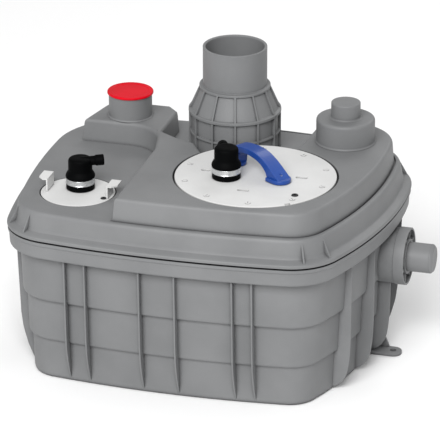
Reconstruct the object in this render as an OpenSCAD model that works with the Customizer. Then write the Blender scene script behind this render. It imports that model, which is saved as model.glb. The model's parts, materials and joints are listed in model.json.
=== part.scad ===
// Macerating lifting station: moulded tank and lid, lift-out pump with its rotor and cutter,
// lift-out level sensor, check valve and pipe connections. Millimetres.
// Origin: centre of the flat base, on the floor. X runs along the long side, Z is up.
// The front is the wall at -Y.

/* [Tank outline] */
// Length over the rim (mm)
body_w = 639; // [625:1:655]
// Depth over the rim (mm)
body_d = 521; // [510:1:535]
// Radius of the bulged front and rear walls (mm)
front_r = 1640; // [1500:20:1800]
// Radius of the bulged right wall (mm)
right_r = 705; // [690:5:760]
// Radius of the bulged left wall (mm)
left_r = 1350; // [1250:25:1500]
// Radius of the two front corners (mm)
front_corner_r = 92; // [84:2:100]
// Radius of the rear right corner (mm)
rear_right_r = 120; // [105:5:130]
// Radius of the rear left corner (mm)
rear_left_r = 160; // [140:5:170]

/* [Heights] */
// Height of the tank rim (mm)
rim_z = 266; // [264:1:280]
// Height of the lower deck of the lid above the rim (mm)
deck_rise = 44; // [40:1:48]
// Height of the upper deck above the lower deck (mm)
plateau_rise = 39; // [34:1:44]
// Height of the lower step of the tank wall (mm)
step_low_z = 74; // [68:1:80]
// Height of the upper step of the tank wall (mm)
step_high_z = 149; // [142:1:156]
// Moulded wall thickness of the tank (mm)
wall = 5; // [4:0.5:6]
// Moulded wall thickness of the lid (mm)
lid_wall = 4; // [3.5:0.5:5]
// Depth of the rim band of the tank (mm)
band_h = 33; // [28:1:35]

/* [Strengthening fins] */
// Thickness of a fin (mm)
fin_t = 3; // [2:0.5:5]
// Depth of a fin at the rim band (mm)
fin_out = 8.5; // [6:0.5:10]

/* [Inlet reducer] */
// Outside radius of the open inlet pipe (mm)
inlet_r = 55; // [50:1:55]
// Wall of the inlet pipe (mm)
inlet_wall = 5; // [4:0.5:6]
// Radius of the wide cylinder below the cone (mm)
reducer_r = 74; // [70:1:76]
// Height of the top of the wide cylinder above the lower deck (mm)
reducer_h = 74; // [64:1:80]
// Height of the cone (mm)
cone_h = 42; // [34:1:48]
// Length of the plain pipe above the cone (mm)
inlet_len = 71; // [60:1:80]
// Number of upright ribs
reducer_ribs = 12; // [8:1:16]

/* [Vent] */
// Outside radius of the vent socket (mm)
vent_r = 37.5; // [34:0.5:40]
// Height of the vent socket (mm)
vent_h = 41; // [34:1:46]
// Overhang of the vent cap (mm)
vent_lip = 2.5; // [1.5:0.5:4]

/* [Blanked top inlet] */
// Radius of the lower step (mm)
blank_r = 50; // [46:0.5:52]
// Height of the lower step (mm)
blank_h = 43; // [36:1:48]
// Radius of the upper step (mm)
blank_top_r = 25; // [22:0.5:28]
// Height of the upper step (mm)
blank_top_h = 28; // [24:1:34]

/* [Outlet] */
// Outside radius of the outlet pipe (mm)
outlet_r = 25; // [25:1:25]
// Wall of the outlet pipe (mm)
outlet_wall = 3.5; // [3:0.5:4]
// Height of the outlet axis above the floor (mm)
outlet_z = 181; // [178:1:182]
// Position of the outlet axis towards the rear (mm)
outlet_y = 49; // [45:1:53]
// Length of the outlet beyond the hub (mm)
outlet_len = 44; // [38:1:60]
// Radius of the ribbed hub (mm)
hub_r = 49; // [46:1:50]
// Depth of the ribbed hub (mm)
hub_d = 18; // [14:1:20]

/* [Pump module] */
// Radius of the pump plate (mm)
pump_plate_r = 135; // [133:1:137]
// Thickness of the pump plate (mm)
pump_plate_t = 7; // [6:0.5:8]
// Radius of the lid opening that the pump is lifted through (mm)
pump_hole_r = 121; // [119:1:122]
// Radius of the motor housing (mm)
motor_r = 80; // [76:1:82]
// Wall of the motor housing (mm)
motor_wall = 5; // [4:0.5:6]
// Radius of the pump chamber (mm)
volute_r = 64; // [62:1:65]
// Radius of the pump shaft (mm)
shaft_r = 8; // [7:0.5:9]
// Air gap between rotor and stator (mm)
air_gap = 1; // [0.5:0.1:1.5]
// Number of impeller vanes
vane_count = 6; // [5:1:8]
// Number of screws in the pump plate
plate_screws = 10; // [8:1:12]

/* [Lifting handle] */
// Width of the grip (mm)
handle_w = 27; // [22:1:30]
// Height of the grip above the plate (mm)
handle_h = 41; // [36:1:46]

/* [Sensor module] */
// Radius of the sensor plate (mm)
sensor_plate_r = 62.5; // [61:0.5:64]
// Height of the hooks above the plate (mm)
hook_h = 22.5; // [18:1:26]

/* [Rubber boots] */
// Radius of the boot at its clamp (mm)
boot_r = 24; // [22:0.5:26]
// Height of the boot (mm)
boot_h = 55; // [50:1:60]
// Radius of the cable hole in the boot (mm)
cable_r = 4.5; // [3.5:0.5:5.5]

/* [Fits] */
// Radial clearance of the shaft and the pin (mm)
run_gap = 0.05; // [0.02:0.01:0.1]
// Gap between parts that sit in one another (mm)
seat_gap = 0.3; // [0.2:0.05:0.5]

/* [Hidden] */
$fn = 96;
eps = 0.01;
deck_z = rim_z + deck_rise;
top_z = deck_z + plateau_rise;
half_w = body_w / 2;
half_d = body_d / 2;

// Centres and radii of the four wall arcs, in the order front, right, rear, left.
front_x = -14;
right_y = 75;
rear_x = 0;
left_y = 50;
arc_c = [[front_x, front_r - half_d], [half_w - right_r, right_y],
    [rear_x, half_d - front_r], [left_r - half_w, left_y]];
arc_r = [front_r, right_r, front_r, left_r];

// Corner arcs, each tangent to the wall before it and the wall after it.
corner_r = [front_corner_r, rear_right_r, rear_left_r, front_corner_r];
corner_side = [[1, -1], [1, 1], [-1, 1], [-1, -1]];
function corner_at(i) =
    let (a = arc_c[i], b = arc_c[(i + 1) % 4],
        r1 = arc_r[i] - corner_r[i], r2 = arc_r[(i + 1) % 4] - corner_r[i],
        l = sqrt(pow(b[0] - a[0], 2) + pow(b[1] - a[1], 2)),
        k = (r1 * r1 - r2 * r2 + l * l) / (2 * l),
        h = sqrt(r1 * r1 - k * k),
        ux = (b[0] - a[0]) / l, uy = (b[1] - a[1]) / l,
        s = (corner_side[i][1] * ux - corner_side[i][0] * uy) > 0 ? h : -h)
    [a[0] + ux * k - uy * s, a[1] + uy * k + ux * s];
corner_c = [for (i = [0 : 3]) corner_at(i)];
function dir(a, b) = atan2(b[1] - a[1], b[0] - a[0]);
function above(a, low) = a < low ? a + 360 : a;
function on_arc(c, r, t) = [c[0] + r * cos(t), c[1] + r * sin(t)];

// Wall i of the outline, inset by d, followed by the corner after it.
arc_n = 5;
function wall_and_corner(i, d) =
    let (j = (i + 1) % 4,
        a0 = dir(arc_c[i], corner_c[(i + 3) % 4]),
        a1 = above(dir(arc_c[i], corner_c[i]), a0),
        a2 = above(dir(arc_c[j], corner_c[i]), a1))
    concat([for (k = [0 : arc_n - 1])
            on_arc(arc_c[i], arc_r[i] - d, a0 + (a1 - a0) * k / arc_n)],
        [for (k = [0 : arc_n - 1])
            on_arc(corner_c[i], corner_r[i] - d, a1 + (a2 - a1) * k / arc_n)]);
function outline(d) = concat(wall_and_corner(0, d), wall_and_corner(1, d),
    wall_and_corner(2, d), wall_and_corner(3, d));
out_n = 8 * arc_n;

// Place of an inset wall, at one x for the front and rear, at one y for the ends.
function front_y(x, d) = arc_c[0][1] - sqrt(pow(arc_r[0] - d, 2) - pow(x - arc_c[0][0], 2));
function right_x(y, d) = arc_c[1][0] + sqrt(pow(arc_r[1] - d, 2) - pow(y - arc_c[1][1], 2));
function rear_y(x, d) = arc_c[2][1] + sqrt(pow(arc_r[2] - d, 2) - pow(x - arc_c[2][0], 2));
function left_x(y, d) = arc_c[3][0] - sqrt(pow(arc_r[3] - d, 2) - pow(y - arc_c[3][1], 2));

// The pump keeps its place from the wall that its outlet passes through.
pump_in = 220.5;
pump_x = body_w / 2 - pump_in;
pump_y = -68;
// The level sensor keeps its place from the front wall.
sensor_in = 135.5;
sensor_x = -193;
sensor_y = sensor_in - body_d / 2;
inlet_x = 7;
inlet_y = 135;
vent_x = -182;
vent_y = 141;
blank_x = 205;
blank_y = 124;
deck_split = -101;

seal_t = 3;
pump_seat_z = top_z - pump_plate_t - seal_t;
pump_under_z = top_z - pump_plate_t;
sensor_plate_t = 5;
sensor_under_z = deck_z - sensor_plate_t;
sensor_seat_z = sensor_under_z - 2;
sensor_hole_r = 50;
sensor_seat_r = sensor_plate_r + 1.5;
pump_seat_r = pump_plate_r + 3;

housing_z = 120;
chamber_z = 46;
casing_z = 40;
cutter_z = 34;
nozzle_z = 73;
nozzle_x = pump_x + 50;
nozzle_y = 7;
nozzle_r = 27;
nozzle_in = 22;
bearing_r = 20;
stator_z = 160;
stator_h = 90;
stator_in = 52;
rotor_core_r = stator_in - air_gap;

bend_r = 30;
valve_x = nozzle_x + bend_r;
valve_len = 85;
valve_w = 64;
valve_low = outlet_z - 34;
valve_top = outlet_z + 38;
pin_x = valve_x + 17.4;
pin_z = outlet_z + 30;
pin_r = 2.5;
hub_x = right_x(outlet_y, 0);
lug_y = 43;
pipe_end = hub_x + hub_d + outlet_len;
inlet_top = deck_z + reducer_h + cone_h + inlet_len;

handle_x = pump_x + 1;
handle_y = pump_y + 14;
handle_turn = -33;
motor_boot_x = pump_x - 45;
motor_boot_y = pump_y - 20;
motor_boot_turn = 115;
sensor_boot_x = sensor_x - 1;
sensor_boot_y = sensor_y + 17;
sensor_boot_turn = 15;
spout_h = 47;
spout_len = 40;

grey = [0.55, 0.56, 0.57];
grey_dark = [0.42, 0.43, 0.44];
white_c = [0.88, 0.88, 0.87];
black_c = [0.05, 0.05, 0.05];
blue_c = [0.13, 0.32, 0.68];
red_c = [0.8, 0.03, 0.1];
steel_c = [0.72, 0.73, 0.75];
copper_c = [0.72, 0.42, 0.22];

// Rings of [inset, height] joined into one closed solid, first and last ring capped.
module loft(rings) {
    n = len(rings);
    pts = [for (r = rings) for (p = outline(r[0])) [p[0], p[1], r[1]]];
    sides = [for (j = [0 : n - 2]) for (i = [0 : out_n - 1])
        [j * out_n + i, (j + 1) * out_n + i, (j + 1) * out_n + (i + 1) % out_n,
            j * out_n + (i + 1) % out_n]];
    low = [for (i = [0 : out_n - 1]) i];
    high = [for (i = [out_n - 1 : -1 : 0]) (n - 1) * out_n + i];
    polyhedron(points = pts, faces = concat([low], sides, [high]), convexity = 6);
}

module ring(ro, ri, h) {
    difference() {
        cylinder(r = ro, h = h);
        translate([0, 0, -1])
            cylinder(r = ri, h = h + 2);
    }
}

// Tank

module tank_shell() {
    w = wall;
    band = rim_z - band_h;
    t1 = step_low_z;
    t2 = step_high_z;
    loft([
        [46, 0],
        [42, 2.5],
        [40.5, 8],
        [38.5, t1 - 3],
        [37, t1 - 0.5],
        [33.5, t1],
        [32.5, t1 + 3],
        [30.5, t2 - 3],
        [29, t2 - 0.5],
        [24.5, t2],
        [23.5, t2 + 3],
        [20.5, band - 3],
        [18.5, band - 0.5],
        [4.5, band],
        [3, band + 2.5],
        [2, rim_z - 10],
        [0, rim_z - 8],
        [0, rim_z - 3],
        [9, rim_z - 3],
        [9, band + w],
        [20.5 + w, band + w - 1],
        [24 + w, t2 + w + 3],
        [30.5 + w, t2 + w],
        [32.5 + w, t1 + w + 3],
        [38.5 + w, t1 + w],
        [40.5 + w, w + 8],
        [48.5 + w, w]
    ]);
}

// Fin on the inset-50 line: a keel at the foot that sweeps out to its full depth at the band.
module fin() {
    band = rim_z - band_h;
    t1 = step_low_z;
    t2 = step_high_z;
    tip = 31.5 + fin_out;
    rotate([90, 0, 0])
        translate([0, 0, -fin_t / 2])
            linear_extrude(height = fin_t)
                polygon([[8, 5], [9.5, 7], [17, 22], [26, 48], [31, 68], [34, 92],
                    [tip, band - 1], [tip, band + 2], [27, band + 2], [27, band - 3],
                    [23.5, t2 + 4], [17, t2 - 2], [15, t1 + 4], [9, t1 - 2]]);
}

module front_and_rear_fins() {
    for (x = [-183, -147, -52, 9, 106, 139]) {
        translate([x, front_y(x, 50), 0])
            rotate([0, 0, -90])
                fin();
        translate([x, rear_y(x, 50), 0])
            rotate([0, 0, 90])
                fin();
    }
}

module end_fins() {
    for (y = [-122, -42, 120])
        translate([right_x(y, 50), y, 0])
            fin();
    for (y = [-156, -122, -42, 60])
        translate([left_x(y, 50), y, 0])
            rotate([0, 0, 180])
                fin();
}

// Base lug with one hole for a floor screw, and a rib up the wall along its rear edge.
module lug() {
    difference() {
        union() {
            translate([-8, -15, 0])
                cube([43, 30, 6]);
            translate([35, 0, 0])
                cylinder(r = 15, h = 6);
            translate([-8, 11, 0])
                cube([34, 4, 26]);
        }
        translate([35, 0, -1])
            cylinder(r = 5.5, h = 8);
        translate([26, 18, 6])
            rotate([90, 0, 0])
                translate([0, 0, -2])
                    linear_extrude(height = 14)
                        polygon([[0, 0], [30, 0], [30, 30], [-12, 30]]);
    }
}

module tank() {
    color(grey)
        difference() {
            union() {
                tank_shell();
                front_and_rear_fins();
                end_fins();
                translate([right_x(lug_y, 40), lug_y, 0])
                    lug();
                translate([left_x(lug_y, 40), lug_y, 0])
                    rotate([0, 0, 180])
                        mirror([0, 1, 0])
                            lug();
                translate([right_x(outlet_y, 31), outlet_y, outlet_z])
                    rotate([0, 90, 0])
                        cylinder(r = hub_r - 1.5, h = hub_x - right_x(outlet_y, 31));
            }
            translate([hub_x - 60, outlet_y, outlet_z])
                rotate([0, 90, 0])
                    cylinder(r = outlet_r, h = 80);
            translate([hub_x - 3, outlet_y, outlet_z])
                rotate([0, 90, 0])
                    cylinder(r = outlet_r + 9, h = 10);
        }
}

// Lid

// Plan of the upper deck, moved inwards by e.
module deck_plan(e) {
    bow = 60;
    bow_x = deck_split - 8 - bow + e;
    polygon(concat(
        [[deck_split + e, -300], [320, -300], [320, 300], [-90, 300], [-90, 170 - e],
            [-109 - e * 0.7, 183 - e * 0.7], [-126 - e * 0.5, 203 - e], [-222, 203 - e],
            [-234 + e * 0.7, 192 - e * 0.7], [-240 + e, 174], [-256 + e, 98 + e],
            [bow_x, 98 + e]],
        [for (i = [1 : 6]) let (a = 90 - i * 15)
            [bow_x + bow * cos(a), 38 + e + bow * sin(a)]],
        [[deck_split + e, 5]]));
}

// Pocket behind the pump plate for the reducer, grown by e.
module pocket_plan(e) {
    difference() {
        polygon([[-106 - e, 300], [-106 - e, 85 - e], [-72 - e, 63 - e], [-37 - e, 48 - e],
            [0, -15], [112, -15], [133 + e, 71], [136 + e, 119], [144 + e, 300]]);
        translate([pump_x, pump_y])
            circle(r = 143 - e);
    }
}

module deck(e) {
    intersection() {
        loft([[30 + e, deck_z - 12 - e], [30 + e, deck_z], [33 + e, top_z - 8 - e],
            [35 + e, top_z - 3 - e], [38 + e, top_z - e]]);
        translate([0, 0, deck_z - 20])
            linear_extrude(height = plateau_rise + 40)
                difference() {
                    deck_plan(e);
                    pocket_plan(e);
                }
    }
}

module lid_shell() {
    w = lid_wall;
    loft([
        [26 + w, deck_z - w],
        [20 + w, deck_z - w - 2],
        [13 + w, rim_z + 13],
        [12, rim_z + 6],
        [10, rim_z],
        [-1, rim_z],
        [-1, rim_z + 5],
        [1, rim_z + 6.5],
        [12, rim_z + 11],
        [13.5, rim_z + 15],
        [18, deck_z - 6],
        [20, deck_z - 2],
        [24, deck_z]
    ]);
}

// Thin corner gusset from the lid wall down to the flange.
module gusset(x, y, turn) {
    translate([x, y, rim_z])
        rotate([0, 0, turn])
            translate([0, 1.5, 0])
                rotate([90, 0, 0])
                    linear_extrude(height = 3)
                        polygon([[2.5, deck_rise - 8], [4.5, deck_rise - 7.5], [19, 10],
                            [20, 3], [11, 3], [7.5, 13]]);
}

module corner_gusset(i, turn) {
    gusset(corner_c[i][0] + (corner_r[i] - 22) * cos(turn),
        corner_c[i][1] + (corner_r[i] - 22) * sin(turn), turn);
}

module corner_gussets(i) {
    for (t = [-16, 16])
        corner_gusset(i, dir([0, 0], corner_side[i]) + t);
}

module lid() {
    color(grey)
        difference() {
            union() {
                lid_shell();
                deck(0);
                for (i = [0 : 3])
                    corner_gussets(i);
                translate([sensor_x, sensor_y, sensor_seat_z - 6])
                    cylinder(r = sensor_seat_r + 4, h = deck_z - sensor_seat_z + 4);
            }
            difference() {
                deck(lid_wall);
                translate([pump_x, pump_y, 0])
                    cylinder(r = pump_seat_r + 4, h = 400);
            }
            translate([pump_x, pump_y, deck_z - 30])
                cylinder(r = pump_hole_r, h = 80);
            translate([pump_x, pump_y, deck_z - 30])
                cylinder(r = pump_seat_r + 0.5, h = 30 + plateau_rise - 18);
            translate([pump_x, pump_y, pump_seat_z])
                cylinder(r = pump_seat_r, h = 30);
            translate([sensor_x, sensor_y, deck_z - 40])
                cylinder(r = sensor_hole_r, h = 80);
            translate([sensor_x, sensor_y, sensor_seat_z])
                cylinder(r = sensor_seat_r, h = 30);
            translate([inlet_x, inlet_y, deck_z - 20])
                cylinder(r = reducer_r - lid_wall - 3, h = 40);
            translate([vent_x, vent_y, top_z - 20])
                cylinder(r = vent_r - 4, h = 40);
            translate([blank_x, blank_y, top_z - 20])
                cylinder(r = blank_r - lid_wall, h = 40);
        }
}

module lid_gasket() {
    color(black_c)
        translate([0, 0, rim_z - 3 + eps])
            linear_extrude(height = 3 - 2 * eps)
                difference() {
                    polygon(outline(2));
                    polygon(outline(8.5));
                }
}

// Pipe connections

module inlet_reducer() {
    r0 = reducer_r;
    r1 = reducer_r + 5.5;
    cyl_top = reducer_h;
    cone_top = reducer_h + cone_h;
    total = cone_top + inlet_len;
    color(grey)
        translate([inlet_x, inlet_y, deck_z])
            difference() {
                union() {
                    rotate_extrude()
                        polygon([[0, 0], [r0 + 3, 0], [r0 + 3, 3], [r0, 3],
                            [r0, 34], [r0 + 3.5, 34], [r0 + 3.5, 38], [r0, 38],
                            [r0, cyl_top - 5], [r1, cyl_top - 4], [r1, cyl_top + 1],
                            [r0, cyl_top + 2], [inlet_r + 3, cone_top - 3],
                            [inlet_r + 6, cone_top - 2], [inlet_r + 6, cone_top + 2],
                            [inlet_r, cone_top + 3], [inlet_r, total], [0, total]]);
                    for (i = [0 : reducer_ribs - 1])
                        rotate([0, 0, -74.3 + i * 360 / reducer_ribs])
                            rotate([90, 0, 0])
                                translate([0, 0, -1.5])
                                    linear_extrude(height = 3)
                                        polygon([[r0 - 8, 0], [r0 + 5, 0], [r0 + 5, cyl_top],
                                            [inlet_r + 5.5, cone_top], [inlet_r - 2, cone_top]]);
                }
                rotate_extrude()
                    polygon([[0, -1], [r0 - lid_wall, -1], [r0 - lid_wall, cyl_top - 1],
                        [inlet_r - inlet_wall, cone_top - 1], [inlet_r - inlet_wall, total - 1.5],
                        [inlet_r - inlet_wall + 1, total + 1], [0, total + 1]]);
            }
}

module vent_socket() {
    color(grey)
        translate([vent_x, vent_y, top_z])
            difference() {
                union() {
                    cylinder(r = vent_r, h = vent_h);
                    cylinder(r1 = vent_r + 2, r2 = vent_r, h = 2);
                }
                translate([0, 0, -1])
                    cylinder(r = vent_r - 3.5, h = vent_h + 2);
            }
}

module vent_cap() {
    color(red_c)
        translate([vent_x, vent_y, top_z + vent_h])
            rotate_extrude()
                polygon([[0, 0], [vent_r - 9, 0], [vent_r - 9, -14],
                    [vent_r - 3.5 - 2 * seat_gap, -14], [vent_r - 3.5 - seat_gap, 0],
                    [vent_r + vent_lip, 0], [vent_r + vent_lip, 2.6],
                    [vent_r + vent_lip - 1.2, 4], [vent_r - 5, 4], [vent_r - 6, 3.2],
                    [0, 3.2]]);
}

module blanked_inlet() {
    rb = 6;
    rt = 3;
    h1 = blank_h;
    h2 = blank_h + blank_top_h;
    w = lid_wall;
    color(grey)
        translate([blank_x, blank_y, top_z])
            difference() {
                rotate_extrude()
                    polygon(concat(
                        [[0, 0], [blank_r + 2, 0], [blank_r, 2]],
                        [for (a = [0 : 18 : 90])
                            [blank_r - rb + rb * cos(a), h1 - rb + rb * sin(a)]],
                        [[blank_top_r + 2, h1], [blank_top_r, h1 + 2]],
                        [for (a = [0 : 18 : 90])
                            [blank_top_r - rt + rt * cos(a), h2 - rt + rt * sin(a)]],
                        [[0, h2]]));
                translate([0, 0, -1])
                    cylinder(r = blank_r - w, h = h1 - w + 1);
                translate([0, 0, h1 - w - 1])
                    cylinder(r = blank_top_r - w, h = blank_top_h + 1);
            }
}

module outlet_hub() {
    color(grey)
        translate([hub_x, outlet_y, outlet_z])
            rotate([0, 90, 0])
                difference() {
                    union() {
                        ring(hub_r, outlet_r, 4);
                        ring(hub_r, hub_r - 3.5, hub_d);
                        ring(outlet_r + 5, outlet_r, hub_d);
                        for (i = [0 : 7])
                            rotate([0, 0, i * 45 + 22.5])
                                translate([outlet_r + 3, -1.5, 0])
                                    cube([hub_r - outlet_r - 5, 3, hub_d - 2]);
                    }
                    for (i = [0 : 3])
                        rotate([0, 0, i * 90])
                            translate([hub_r - 10, 0, -1])
                                cylinder(r = 3, h = 6);
                }
}

module outlet_pipe() {
    x0 = valve_x + valve_len;
    color(grey)
        translate([x0, outlet_y, outlet_z])
            rotate([0, 90, 0])
                difference() {
                    union() {
                        cylinder(r = outlet_r - seat_gap, h = pipe_end - 6 - x0);
                        translate([0, 0, hub_x + hub_d - x0])
                            cylinder(r = outlet_r, h = outlet_len - 6);
                    }
                    translate([0, 0, -1])
                        cylinder(r = outlet_r - outlet_wall, h = 200);
                }
}

module outlet_plug() {
    color(grey)
        translate([pipe_end - 6, outlet_y, outlet_z])
            rotate([0, 90, 0])
                union() {
                    cylinder(r = outlet_r, h = 2);
                    translate([0, 0, 2])
                        cylinder(r1 = outlet_r, r2 = outlet_r - 4, h = 4);
                    translate([0, 0, -14])
                        cylinder(r = outlet_r - outlet_wall - seat_gap, h = 14);
                }
}

module outlet_seal() {
    color(black_c)
        translate([hub_x - 3, outlet_y, outlet_z])
            rotate([0, 90, 0])
                ring(outlet_r + 9 - seat_gap, outlet_r, 3);
}

// Discharge line inside the tank

module tube_y(len) {
    rotate([-90, 0, 0])
        ring(nozzle_r, nozzle_in, len);
}

module bend() {
    rotate_extrude(angle = 90)
        translate([bend_r, 0])
            difference() {
                circle(r = nozzle_r);
                circle(r = nozzle_in);
            }
}

module discharge_riser() {
    y0 = nozzle_y + seat_gap;
    yb = outlet_y - bend_r;
    color(grey_dark)
        union() {
            translate([nozzle_x, y0, nozzle_z])
                rotate([-90, 0, 0])
                    difference() {
                        cylinder(r = nozzle_r + 5, h = 8);
                        translate([0, 0, -1])
                            cylinder(r = nozzle_in, h = 10);
                        translate([0, 0, -1])
                            cylinder(r = nozzle_in + 3.2, h = 3);
                    }
            translate([nozzle_x, y0 + 8, nozzle_z])
                tube_y(yb - y0 - 8);
            translate([nozzle_x, yb, nozzle_z + bend_r])
                rotate([0, 90, 0])
                    bend();
            translate([nozzle_x, outlet_y, nozzle_z + bend_r])
                ring(nozzle_r, nozzle_in, outlet_z - nozzle_z - 2 * bend_r);
            translate([nozzle_x + bend_r, outlet_y, outlet_z - bend_r])
                rotate([90, 0, 180])
                    bend();
        }
}

module riser_seal() {
    color(black_c)
        translate([nozzle_x, nozzle_y + seat_gap, nozzle_z])
            rotate([-90, 0, 0])
                ring(nozzle_in + 3, nozzle_in, 2);
}

module valve_body() {
    color(grey_dark)
        translate([valve_x, outlet_y, 0])
            difference() {
                union() {
                    difference() {
                        translate([0, -valve_w / 2, valve_low])
                            cube([valve_len, valve_w, valve_top - valve_low]);
                        translate([11, -valve_w / 2 + 6, valve_low + 5])
                            cube([valve_len - 17, valve_w - 12, valve_top - valve_low]);
                    }
                    translate([5, 0, outlet_z])
                        rotate([0, 90, 0])
                            cylinder(r = nozzle_in + 2, h = 10);
                }
                translate([-1, 0, outlet_z])
                    rotate([0, 90, 0])
                        cylinder(r = nozzle_in - 2, h = 20);
                translate([valve_len - 10, 0, outlet_z])
                    rotate([0, 90, 0])
                        cylinder(r = outlet_r - outlet_wall, h = 20);
                translate([pin_x - valve_x, -valve_w / 2 + 3, pin_z])
                    rotate([-90, 0, 0])
                        cylinder(r = pin_r, h = valve_w - 6);
            }
}

module valve_cover() {
    color(grey_dark)
        translate([valve_x, outlet_y, valve_top])
            difference() {
                translate([0, -valve_w / 2, 0])
                    cube([valve_len, valve_w, 4]);
                for (x = [5, valve_len - 5])
                    for (y = [-1, 1])
                        translate([x, y * (valve_w / 2 - 4), -1])
                            cylinder(r = 2.2, h = 6);
            }
}

module valve_cover_screws() {
    color(steel_c)
        for (x = [5, valve_len - 5])
            for (y = [-1, 1])
                translate([valve_x + x, outlet_y + y * (valve_w / 2 - 4), valve_top + 4]) {
                    cylinder(r = 3.6, h = 2.4);
                    translate([0, 0, -4])
                        cylinder(r = 2, h = 4);
                }
}

module valve_flap() {
    x0 = valve_x + 15.4;
    color(black_c)
        difference() {
            union() {
                translate([x0, outlet_y, outlet_z])
                    rotate([0, 90, 0])
                        cylinder(r = nozzle_in + 2, h = 4);
                translate([x0, outlet_y - 10, outlet_z])
                    cube([4, 20, pin_z - outlet_z]);
                translate([pin_x, outlet_y - 12, pin_z])
                    rotate([-90, 0, 0])
                        cylinder(r = 5, h = 24);
            }
            translate([pin_x, outlet_y - 13, pin_z])
                rotate([-90, 0, 0])
                    cylinder(r = pin_r + run_gap, h = 26);
        }
}

module valve_pin() {
    color(steel_c)
        translate([pin_x, outlet_y - valve_w / 2 + 3, pin_z])
            rotate([-90, 0, 0])
                cylinder(r = pin_r, h = valve_w - 6);
}

// Pump module

module at_pump() {
    translate([pump_x, pump_y, 0])
        children();
}

// Rounded slot of length l and width w, cut d deep into the top of the plate.
module dimple(l, w, d) {
    translate([-(l - w) / 2, -w / 2, top_z - d])
        cube([l - w, w, d + 1]);
    for (s = [-1, 1])
        translate([s * (l - w) / 2, 0, top_z - d])
            cylinder(r = w / 2, h = d + 1);
}

module pump_plate() {
    color(white_c)
        at_pump()
            difference() {
                union() {
                    translate([0, 0, pump_under_z])
                        cylinder(r = pump_plate_r, h = pump_plate_t - 1);
                    translate([0, 0, top_z - 1])
                        cylinder(r1 = pump_plate_r, r2 = pump_plate_r - 1, h = 1);
                    translate([0, 0, pump_under_z - 48])
                        cylinder(r = bearing_r + 6, h = 48);
                    translate([motor_boot_x - pump_x, motor_boot_y - pump_y, top_z])
                        cylinder(r = 18, h = 20);
                }
                translate([0, 0, pump_under_z - 49])
                    cylinder(r = bearing_r, h = 17);
                translate([0, 0, pump_under_z - 33])
                    cylinder(r = shaft_r + 2, h = 22);
                translate([motor_boot_x - pump_x, motor_boot_y - pump_y, pump_under_z - 1])
                    cylinder(r = 12, h = 30);
                for (i = [0 : plate_screws - 1])
                    rotate([0, 0, 171 + i * 360 / plate_screws])
                        translate([120, 0, pump_under_z - 1])
                            cylinder(r = 2.7, h = 20);
                rotate([0, 0, -38])
                    translate([107, 0, top_z - 3])
                        cylinder(r = 6, h = 5);
                translate([-86, 0, 0])
                    dimple(16, 8, 1.5);
                translate([-3, -68, 0])
                    dimple(20, 9, 1.5);
                translate([76, 11, 0])
                    dimple(20, 9, 1.5);
                rotate([0, 0, -52])
                    translate([pump_plate_r - 4, -4, top_z - 4])
                        cube([10, 8, 10]);
            }
}

module pump_plate_seal() {
    color(black_c)
        at_pump()
            translate([0, 0, pump_seat_z])
                difference() {
                    ring(pump_plate_r - 1, pump_hole_r + 1, seal_t);
                    for (i = [0 : plate_screws - 1])
                        rotate([0, 0, 171 + i * 360 / plate_screws])
                            translate([120, 0, -1])
                                cylinder(r = 3.2, h = 6);
                }
}

module pump_plate_screws() {
    color(white_c)
        at_pump()
            for (i = [0 : plate_screws - 1])
                rotate([0, 0, 171 + i * 360 / plate_screws])
                    translate([120, 0, pump_under_z])
                        difference() {
                            union() {
                                cylinder(r = 2.5, h = pump_plate_t - 1);
                                translate([0, 0, -seal_t])
                                    cylinder(r = 2.5, h = seal_t);
                                translate([0, 0, pump_plate_t])
                                    cylinder(r = 4.5, h = 1.4);
                                translate([0, 0, pump_plate_t - 1.2])
                                    cylinder(r = 2.5, h = 2);
                            }
                            translate([-3, -0.6, pump_plate_t + 0.6])
                                cube([6, 1.2, 2]);
                        }
}

module earth_screw() {
    color(black_c)
        at_pump()
            rotate([0, 0, -38])
                translate([107, 0, top_z - 3])
                    difference() {
                        cylinder(r = 5.4, h = 4.4);
                        translate([0, 0, 2.4])
                            cylinder(r = 2.6, h = 3, $fn = 6);
                    }
}

module lifting_handle() {
    h = handle_h;
    color(blue_c)
        translate([handle_x, handle_y, top_z])
            rotate([0, 0, handle_turn])
                difference() {
                    union() {
                        rotate([90, 0, 0])
                            translate([0, 0, -handle_w / 2])
                                linear_extrude(height = handle_w)
                                    polygon([[-62, 0], [-62, h - 22], [-59, h - 14],
                                        [-53, h - 7], [-44, h - 3], [-30, h - 1], [-12, h],
                                        [4, h - 1], [18, h - 5], [32, h - 12], [46, h - 21],
                                        [60, h - 31], [66, h - 35], [66, 0], [36, 0],
                                        [34, 8], [29, h - 25], [20, h - 18], [8, h - 13],
                                        [-8, h - 10], [-24, h - 10], [-34, h - 13],
                                        [-40, h - 20], [-43, h - 30], [-43, 0]]);
                        translate([54, 0, 0])
                            cylinder(r = 18, h = 7);
                        translate([36, -18, 0])
                            cube([18, 36, 7]);
                        translate([-52, 0, 0])
                            cylinder(r = 15, h = 5);
                    }
                    for (x = [-52, 56])
                        translate([x, 0, -1])
                            cylinder(r = 2.5, h = 15);
                }
}

module handle_screws() {
    color(steel_c)
        translate([handle_x, handle_y, top_z])
            rotate([0, 0, handle_turn])
                for (x = [-52, 56])
                    translate([x, 0, 0])
                        cylinder(r = 2.5 - run_gap, h = 12);
}

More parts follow.
